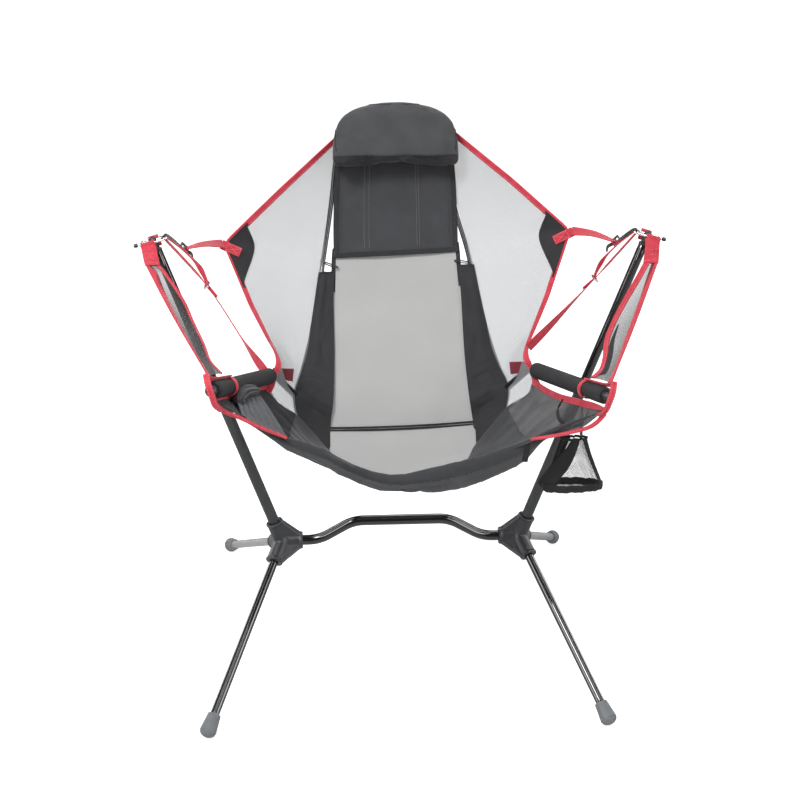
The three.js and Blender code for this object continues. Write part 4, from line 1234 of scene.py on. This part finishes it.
def sling_centre():
    rows = [np.concatenate([seat(-1, *half), seat(1, *half[-2::-1])]) for half in SLING_CENTRE]
    rows[0][:, 2] = along_front(HEM_TOP, rows[0][:, 0]) - HEM_DROP * MM
    grid = rumpled(patch_grid(rows, 50, 50), 1.6 * MM, 40, 5)
    ride(sheet("sling_centre_mesh", grid, 0.9 * MM, "centre_mesh"), "seat", "seat_sling")


sling_centre()
both(sling_side)


def gathered_knot():
    """Spare cloth bunched against the left armrest, with folds that fan out to the front tape."""
    rng = np.random.default_rng(5)
    line = spline(seat(-1, (242, -168, 584), (252, -188, 592), (263, -214, 597), (268, -240, 594)), 26)
    angle = np.linspace(0, 2 * np.pi, 60, endpoint=False)
    tangents, sides = travel(line, X_AXIS)
    others = np.cross(tangents, sides)
    ripples = [(n, rng.uniform(0, 6.3), rng.uniform(-0.12, 0.12)) for n in (4, 7, 9, 12)]
    rings = []
    for i, (p, s, o) in enumerate(zip(line, sides, others)):
        t = i / (len(line) - 1)
        size = (7.5 + 4 * math.sin(math.pi * t)) * MM * (0.5 if i in (0, len(line) - 1) else 1)
        fold = 1 + sum(0.085 * np.cos(n * angle + phase + drift * i) for n, phase, drift in ripples)
        around = np.outer(np.cos(angle), s) + np.outer(np.sin(angle), o) * 0.8
        rings.append(p + size * fold[:, None] * around)
    ride(skin("gathered_cloth", np.array(rings), "dark_cloth", 80), "seat")
    near = spline(seat(-1, (270, -240, 590), (258, -214, 586), (240, -180, 578)), 40)
    far = spline(seat(-1, (262, -272, 583), (232, -258, 556), (196, -238, 527)), 40)
    t = np.linspace(0, 1, 50)[:, None, None]
    fan = near[None] * (1 - t) + far[None] * t
    pleats = np.sin(np.linspace(0, 5.2 * 2 * np.pi, 40))[None, :, None] * (0.35 + 0.65 * np.sin(np.pi * t))
    fan = fan + to_sitter(fan) * (pleats * 2.4 * MM + 5 * MM)
    # The fan's look is lighter than the sling's other mesh: painted highlight on the pleats.
    ride(sheet("gathered_fan", fan, 0.8 * MM, "smoky_fan_painted_highlight"), "seat")


gathered_knot()


VEIL_FOLD = [(246, -212, 588), (237, -222, 574), (241, -234, 560), (260, -242, 555), (278, -238, 565),
             (287, -228, 581)]


def veil_fold():
    """A doubled fold of cloth in the thin mesh beside the right arm."""
    width = np.interp(np.linspace(0, 1, 50), (0, 0.5, 1), (3 * MM, 7 * MM, 3 * MM))
    ride(ribbon("veil_fold", spline(seat(1, *VEIL_FOLD), 50), unit([0.3, 0.4, 0.85]), width, 1.4 * MM,
                "smoky_left"), "seat")


veil_fold()


# ---------- padded pieces: head pillow and front hem ----------
def mesh_points(obj):
    """Where an object's vertices are, and their normals."""
    return [np.array([getattr(v, kind) for v in obj.data.vertices]) for kind in ("co", "normal")]


def set_points(obj, co):
    obj.data.vertices.foreach_set("co", co.ravel())


def apply_modifiers(obj):
    graph = bpy.context.evaluated_depsgraph_get()
    made = bpy.data.meshes.new_from_object(obj.evaluated_get(graph))
    obj.modifiers.clear()
    obj.data = made


SWELL_FRAMES = 20


def swell(node, name, look, voxel, inset, pressure, cap):
    """A padded piece: the CAD solid, a little smaller, remeshed and blown up as cloth."""
    obj = new_object(name, frame["nodes"][node].data.copy())
    bpy.context.view_layer.objects.active = obj
    modify(obj, "REMESH", mode="VOXEL", voxel_size=voxel)
    apply_modifiers(obj)
    co, normals = mesh_points(obj)
    rest = co - normals * inset
    set_points(obj, rest)
    balloon = obj.modifiers.new("Cloth", "CLOTH")
    balloon.settings.use_pressure = True
    balloon.settings.uniform_pressure_force = pressure
    balloon.settings.effector_weights.gravity = 0
    balloon.point_cache.frame_start, balloon.point_cache.frame_end = 1, SWELL_FRAMES
    for step in range(1, SWELL_FRAMES + 1):
        bpy.context.scene.frame_set(step)
    apply_modifiers(obj)
    bpy.context.scene.frame_set(1)
    move = mesh_points(obj)[0] - rest
    size = np.linalg.norm(move, axis=1, keepdims=True)
    set_points(obj, rest + move * np.minimum(1, cap / np.maximum(size, 1e-9)))
    modify(obj, "SMOOTH", factor=0.5, iterations=4)
    modify(obj, "SUBSURF", levels=1, render_levels=1)
    apply_modifiers(obj)
    paint(obj, look)
    return obj


def cast(obj, starts, direction, lift):
    """The points where rays meet an object, lifted off it a little; rays that miss are left out."""
    tree = BVHTree.FromObject(obj, bpy.context.evaluated_depsgraph_get())
    direction = Vector(direction)
    hits = []
    for start in starts:
        hit, normal, _, _ = tree.ray_cast(Vector(start), direction)
        if hit is not None:
            hits.append(hit + (normal if normal.dot(direction) < 0 else -normal) * lift)
    return np.array(hits)


def pushed(obj, folds):
    """Presses folds into a padded piece; each is (start, end, depth, width) in metres."""
    co, normals = mesh_points(obj)
    for start, end, depth, width in folds:
        distance = np.linalg.norm(nearest_on(co, start, end)[1], axis=1)
        co += normals * (depth * np.exp(-((distance / width) ** 2)))[:, None]
    set_points(obj, co)


def bulge(value, power):
    return abs(value) ** power * math.copysign(1, value)


def head_pillow():
    """A foam pad in a sewn cover: a smooth face over a wrinkled gusset, with a piped seam between."""
    pillow = swell("head_pillow", "pillow_cushion", "pillow_cloth", 4 * MM, 2.5 * MM, 4.0, 7 * MM)
    lean = math.radians(14.5)
    back = np.array([0, math.cos(lean), -math.sin(lean)])
    rise = np.array([0, math.sin(lean), math.cos(lean)])
    co = mesh_points(pillow)[0]
    levels = co @ rise
    sag = smooth_step(1 - (levels - levels.min()) / (35 * MM))
    co += -rise * (5.5 * MM * sag)[:, None]
    co[:, 0] *= 1.012
    set_points(pillow, co)
    low, high = co.min(0), co.max(0)
    half = (high[0] - low[0]) / 2
    levels = co @ rise
    floor_level, tall = levels.min(), np.ptp(levels)
    depth_level = (co @ back).min()
    rng = np.random.default_rng(9)
    wrinkles = []
    for x in np.arange(-0.85, 0.86, 0.17):
        start = X_AXIS * (x + rng.uniform(-0.05, 0.05)) * half + back * (depth_level + 5 * MM)
        start = start + rise * (floor_level + rng.uniform(0.5, 6) * MM)
        end = start + X_AXIS * rng.uniform(-20, 20) * MM + rise * rng.uniform(7, 14) * MM
        wrinkles.append((start, end, rng.choice([-3.0, 2.2]) * MM, 3.5 * MM))
    pushed(pillow, wrinkles)
    pillow.data.materials.append(LOOKS["gusset_cloth"])
    seam_level = floor_level + 0.16 * tall
    for face in pillow.data.polygons:
        face.material_index = int(np.array(face.center) @ rise < seam_level)
    ride(pillow, "seat", "head_pillow")

    def ahead(x, level):
        """A point before the pillow's face, from shares of its half width and its height."""
        return X_AXIS * x * half + rise * (floor_level + level * tall) + back * (depth_level - 0.1)

    bottom = [ahead(x, 0.165 + 0.006 * math.sin(9 * x)) for x in np.linspace(-0.97, 0.97, 80)]
    angles = np.linspace(math.radians(196), math.radians(-16), 90)
    outline = [ahead(0.955 * bulge(math.cos(a), 0.5), 0.42 + 0.545 * bulge(math.sin(a), 0.85))
               for a in angles]
    for label, starts in (("bottom", bottom), ("edge", outline)):
        run = cast(pillow, starts, back, 0.2 * MM)
        ride(tube(f"pillow_piping_{label}", resample(run, 100), 1.0 * MM, "gusset_cloth", 10), "seat")


def front_hem():
    """The padded roll along the seat's front, with a sewn channel and folds along it."""
    hem = swell("front_hem", "hem_roll", "pillow_cloth", 4 * MM, 2.0 * MM, 3.0, 4 * MM)
    co = mesh_points(hem)[0]
    bins = np.linspace(co[:, 0].min(), co[:, 0].max(), 61)
    index = np.clip(np.digitize(co[:, 0], bins) - 1, 0, 59)
    middles = (bins[1:] + bins[:-1]) / 2
    low = np.interp(co[:, 0], middles, [co[index == k, 2].min() for k in range(60)])
    high = np.interp(co[:, 0], middles, [co[index == k, 2].max() for k in range(60)])
    want_low, want_high = along_front(HEM_LOW, co[:, 0]), along_front(HEM_TOP, co[:, 0])
    share = (co[:, 2] - low) / (high - low)
    reshaped = want_low + share * (want_high - want_low)
    weight = smooth_step((0.213 - np.abs(co[:, 0])) / 0.03)
    co[:, 2] += (reshaped - co[:, 2]) * weight
    set_points(hem, co)
    hem.data.update()
    rng = np.random.default_rng(21)
    places = np.linspace(-0.188, 0.188, 40)
    tops, lows = along_front(HEM_TOP, places), along_front(HEM_LOW, places)
    line = np.stack([places, np.full(40, -0.250), (tops + lows) / 2], 1)
    folds = []
    for k in range(3, 36, 3):
        angle = rng.uniform(0.2, 2.9)
        side_step = np.array([0, -math.sin(angle) * 13, math.cos(angle) * 17]) * MM
        reach = int(rng.integers(3, 7))
        folds.append((line[k] + side_step, line[min(k + reach, 39)] + side_step * 0.9,
                      rng.choice([-3.4, -2.4, 2.2]) * MM, rng.uniform(3, 5.5) * MM))
    groove = line + np.stack([0 * places, np.full(40, -15 * MM), (tops - lows) * 0.07], 1)
    folds += [(groove[k], groove[k + 1], -2.6 * MM, 3.2 * MM) for k in range(2, 38)]
    pushed(hem, folds)
    hem.data.materials.append(LOOKS["dark_cloth_solid"])
    for face in hem.data.polygons:
        x, _, z = face.center
        foot, head = along_front(HEM_LOW, x), along_front(HEM_TOP, x)
        face.material_index = int(z > foot + (head - foot) * 0.57)
    ride(hem, "seat", "front_hem")
    for label, level in (("upper", 0.60), ("lower", 0.52)):
        heights = lows + (tops - lows) * level
        starts = [(x, -0.4, z) for x, z in zip(places[1:-1], heights[1:-1])]
        run = cast(hem, starts, Y_AXIS, 0.1 * MM)
        ride(stitches(f"hem_stitching_{label}", [resample(run, 120)], "dark_thread", 3.4 * MM, 1.4 * MM),
             "seat")
    # A black tab is sewn down the hem where the right tape ends.
    drop = zip(0.183 + 0.004 * np.linspace(1, 0, 9), np.linspace(tops[-1] - 4 * MM, lows[-1] + 4 * MM, 9))
    run = cast(hem, [(x, -0.4, z) for x, z in drop], Y_AXIS, 1.0 * MM)
    ride(ribbon("hem_tab", run, X_AXIS, 10 * MM, 1.6 * MM, "black_webbing"), "seat")


head_pillow()
front_hem()


# ---------- cup holder ----------
def hoop(name, rings, look):
    """A closed ring of cross-sections."""
    count, around = rings.shape[:2]
    faces, uvs = wall(around, np.arange(around + 1) * MM, np.arange(count + 1) * 4 * MM, count)
    return add_mesh(name, rings.reshape(-1, 3), faces, look, uvs)


def cup_net():
    """A limp net bag, flattened front to back, that widens to a taped base with black webs down it."""
    low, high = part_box("cup_holder")
    centre = (low + high) / 2
    r_bottom = (high.x - low.x) / 2
    r_top = r_bottom * 0.40
    tall = high.z - low.z
    flat = 0.30  # the depth of the bag as a share of its width

    def at(level, angle, lift=0.0):
        r = r_bottom * 0.94 + (r_top - r_bottom * 0.94) * level ** 0.9 + lift
        r *= 1 + 0.05 * math.cos(3 * angle + 0.6) * (1 - level)
        shift = 6 * MM * (1 - level)
        return np.array([centre.x + shift + 5 * MM * level + r * math.cos(angle),
                         centre.y + flat * r * math.sin(angle), low.z + 6 * MM + (tall - 7 * MM) * level])

    around, up = 84, 44
    verts = [at(i / up, 2 * math.pi * (j + 0.5 * (i % 2)) / around)
             for i in range(up + 1) for j in range(around)]
    faces = []
    for i in range(up - 1):
        for j in range(around):
            ahead, behind = ((j + 1) % around, j) if i % 2 else (j, (j - 1) % around)
            here, above = i * around, (i + 1) * around
            faces.append((here + j, above + ahead, above + around + j, above + behind))
    bag = add_mesh("cup_net", verts, faces, "black_webbing")
    modify(bag, "WIREFRAME", thickness=0.55 * MM, use_even_offset=False)
    apply_modifiers(bag)
    ride(bag, "cup", "cup_holder", slot="black_cloth")
    angles = np.linspace(0, 2 * np.pi, 96, endpoint=False)
    for label, level, width, proud in (("base", 0.02, 14 * MM, 1.4 * MM), ("rim", 0.985, 4 * MM, 0.4 * MM)):
        s = np.linspace(0, 2 * np.pi, 16, endpoint=False)
        rings = []
        for a in angles:
            out = np.array([math.cos(a), math.sin(a), 0])
            rumple = 0.6 * MM * math.sin(11 * a) + 0.5 * MM * math.sin(23 * a + 1)
            middle = at(level, a, proud + rumple * 0.4) + Z_AXIS * rumple
            rings.append(middle + np.outer(1.5 * MM * np.cos(s), out)
                         + np.outer(width / 2 * np.sign(np.sin(s)) * np.abs(np.sin(s)) ** 0.5, Z_AXIS))
        ride(hoop(f"cup_{label}_band", np.array(rings), "black_webbing"), "cup")
    bearings = np.linspace(0, 2 * np.pi, 48, endpoint=False)
    floor_rings = [[at(0, a, -lift) + Z_AXIS * rise for a in bearings]
                   for lift, rise in ((3 * MM, -3 * MM), (1.5 * MM, -2 * MM), (2.4 * MM, -1 * MM))]
    ride(skin("cup_floor", np.array(floor_rings), "cup_veil"), "cup")
    # A broad web slants down the front to the base's left end, and a narrow one to its right end.
    levels = np.linspace(0.0, 0.98, 30)
    webs = (("broad", 196, 276, np.interp(levels, (0, 0.5, 0.98), (24, 27, 13))),
            ("narrow", 352, 318, np.full(30, 7.0)), ("rear", 150, 110, np.full(30, 7.0)))
    for label, start, stop, width in webs:
        bearing = np.radians(np.linspace(start, stop, 30))
        run = np.array([at(lv, a, 1.4 * MM) for lv, a in zip(levels, bearing)])
        out = np.stack([np.cos(bearing), np.sin(bearing) / flat, np.zeros(30)], 1)
        ride(ribbon(f"cup_web_{label}", run, np.cross(np.gradient(run, axis=0), out), width * MM, 1.4 * MM,
                    "black_webbing"), "cup")
    strap_low, strap_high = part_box("cup_strap")
    start = np.array([strap_low.x + 4 * MM, centre.y, strap_low.z])
    end = np.array([strap_high.x - 4 * MM, centre.y, strap_high.z])
    ride(ribbon("cup_hanging_web", resample([start, end], 12), Y_AXIS, 18 * MM, 1.8 * MM, "black_webbing"),
         body_of("cup_strap"), "cup_strap")


cup_net()


# ---------- stage ----------
def floor():
    """White ground: lit by itself enough to read as white, and it still takes soft shadows."""
    tree = shader("pale_floor")
    mottle = noise_of(tree, place_of(tree), 3, 3)
    shade = mix_colour(tree, mottle, (0.93, 0.93, 0.93, 1), (0.95, 0.95, 0.95, 1))
    seen = times(tree, put(tree, "LightPath", {}).outputs["Is Camera Ray"], 0.80)
    surface(tree, put(tree, "BsdfPrincipled", {
        "Base Color": shade, "Roughness": 0.95, "Specular IOR Level": 0.0,
        "Emission Color": (1, 1, 1, 1), "Emission Strength": seen}).outputs[0])
    size = 30
    plane = add_mesh("floor", [(-size, -size, 0), (size, -size, 0), (size, size, 0), (-size, size, 0)],
                     [(0, 1, 2, 3)], "pale_floor")
    plane.location.z = -0.5 * MM


def world():
    """White for the camera and the light; the gloss sees a dim studio with bright upright strips."""
    made = bpy.data.worlds.new("studio")
    made.use_nodes = True
    tree = made.node_tree
    tree.nodes.clear()
    ray = put(tree, "LightPath", {}).outputs
    x, y, _ = axes_of(tree, put(tree, "TexCoord", {}).outputs["Generated"])
    turn = calc(tree, "ARCTAN2", x, y)
    strips = None
    for centre, width in ((-0.85, 0.10), (1.0, 0.10), (2.55, 0.12), (-2.5, 0.12), (1.8, 0.10), (-1.8, 0.10)):
        gap = calc(tree, "ABSOLUTE", calc(tree, "SUBTRACT", turn, centre))
        strip = calc(tree, "LESS_THAN", gap, width)
        strips = strip if strips is None else calc(tree, "MAXIMUM", strips, strip)
    glow = plus(tree, times(tree, strips, 7.0), 0.14)
    plain = plus(tree, times(tree, ray["Is Camera Ray"], 0.75), 0.31)
    level = plus(tree, times(tree, ray["Is Glossy Ray"], glow),
                 times(tree, calc(tree, "SUBTRACT", 1.0, ray["Is Glossy Ray"]), plain))
    back = put(tree, "Background", {"Color": (1, 1, 1, 1), "Strength": level})
    put(tree, "OutputWorld", {"Surface": back.outputs[0]})
    bpy.context.scene.world = made


def lamp(name, place, target, size, power):
    data = bpy.data.lights.new(name, "AREA")
    data.shape, data.size, data.energy = "DISK", size, power
    obj = new_object(name, data)
    obj.location = place
    obj.rotation_euler = (Vector(target) - Vector(place)).to_track_quat("-Z", "Y").to_euler()


def camera():
    data = bpy.data.cameras.new("camera")
    data.lens, data.sensor_width = 57.1, 36
    obj = new_object("camera", data)
    obj.location = (-0.1162, -2.021, 1.4435)
    pitch, yaw, roll = math.radians(25.295), math.radians(3.202), math.radians(0.302)
    look = Euler((math.pi / 2 - pitch, 0, -yaw), "XYZ").to_matrix()
    obj.rotation_euler = (look @ Euler((0, 0, roll)).to_matrix()).to_euler()
    bpy.context.scene.camera = obj


floor()
world()
lamp("key", (-1.4, -1.6, 3.2), (0, 0, 0.5), 1.0, 68)
lamp("fill", (2.4, -1.4, 1.8), (0, 0, 0.5), 1.4, 11)
lamp("rim", (0.4, 2.2, 2.4), (0, 0, 0.6), 1.4, 18)
camera()
bpy.context.scene.view_settings.view_transform = "Standard"
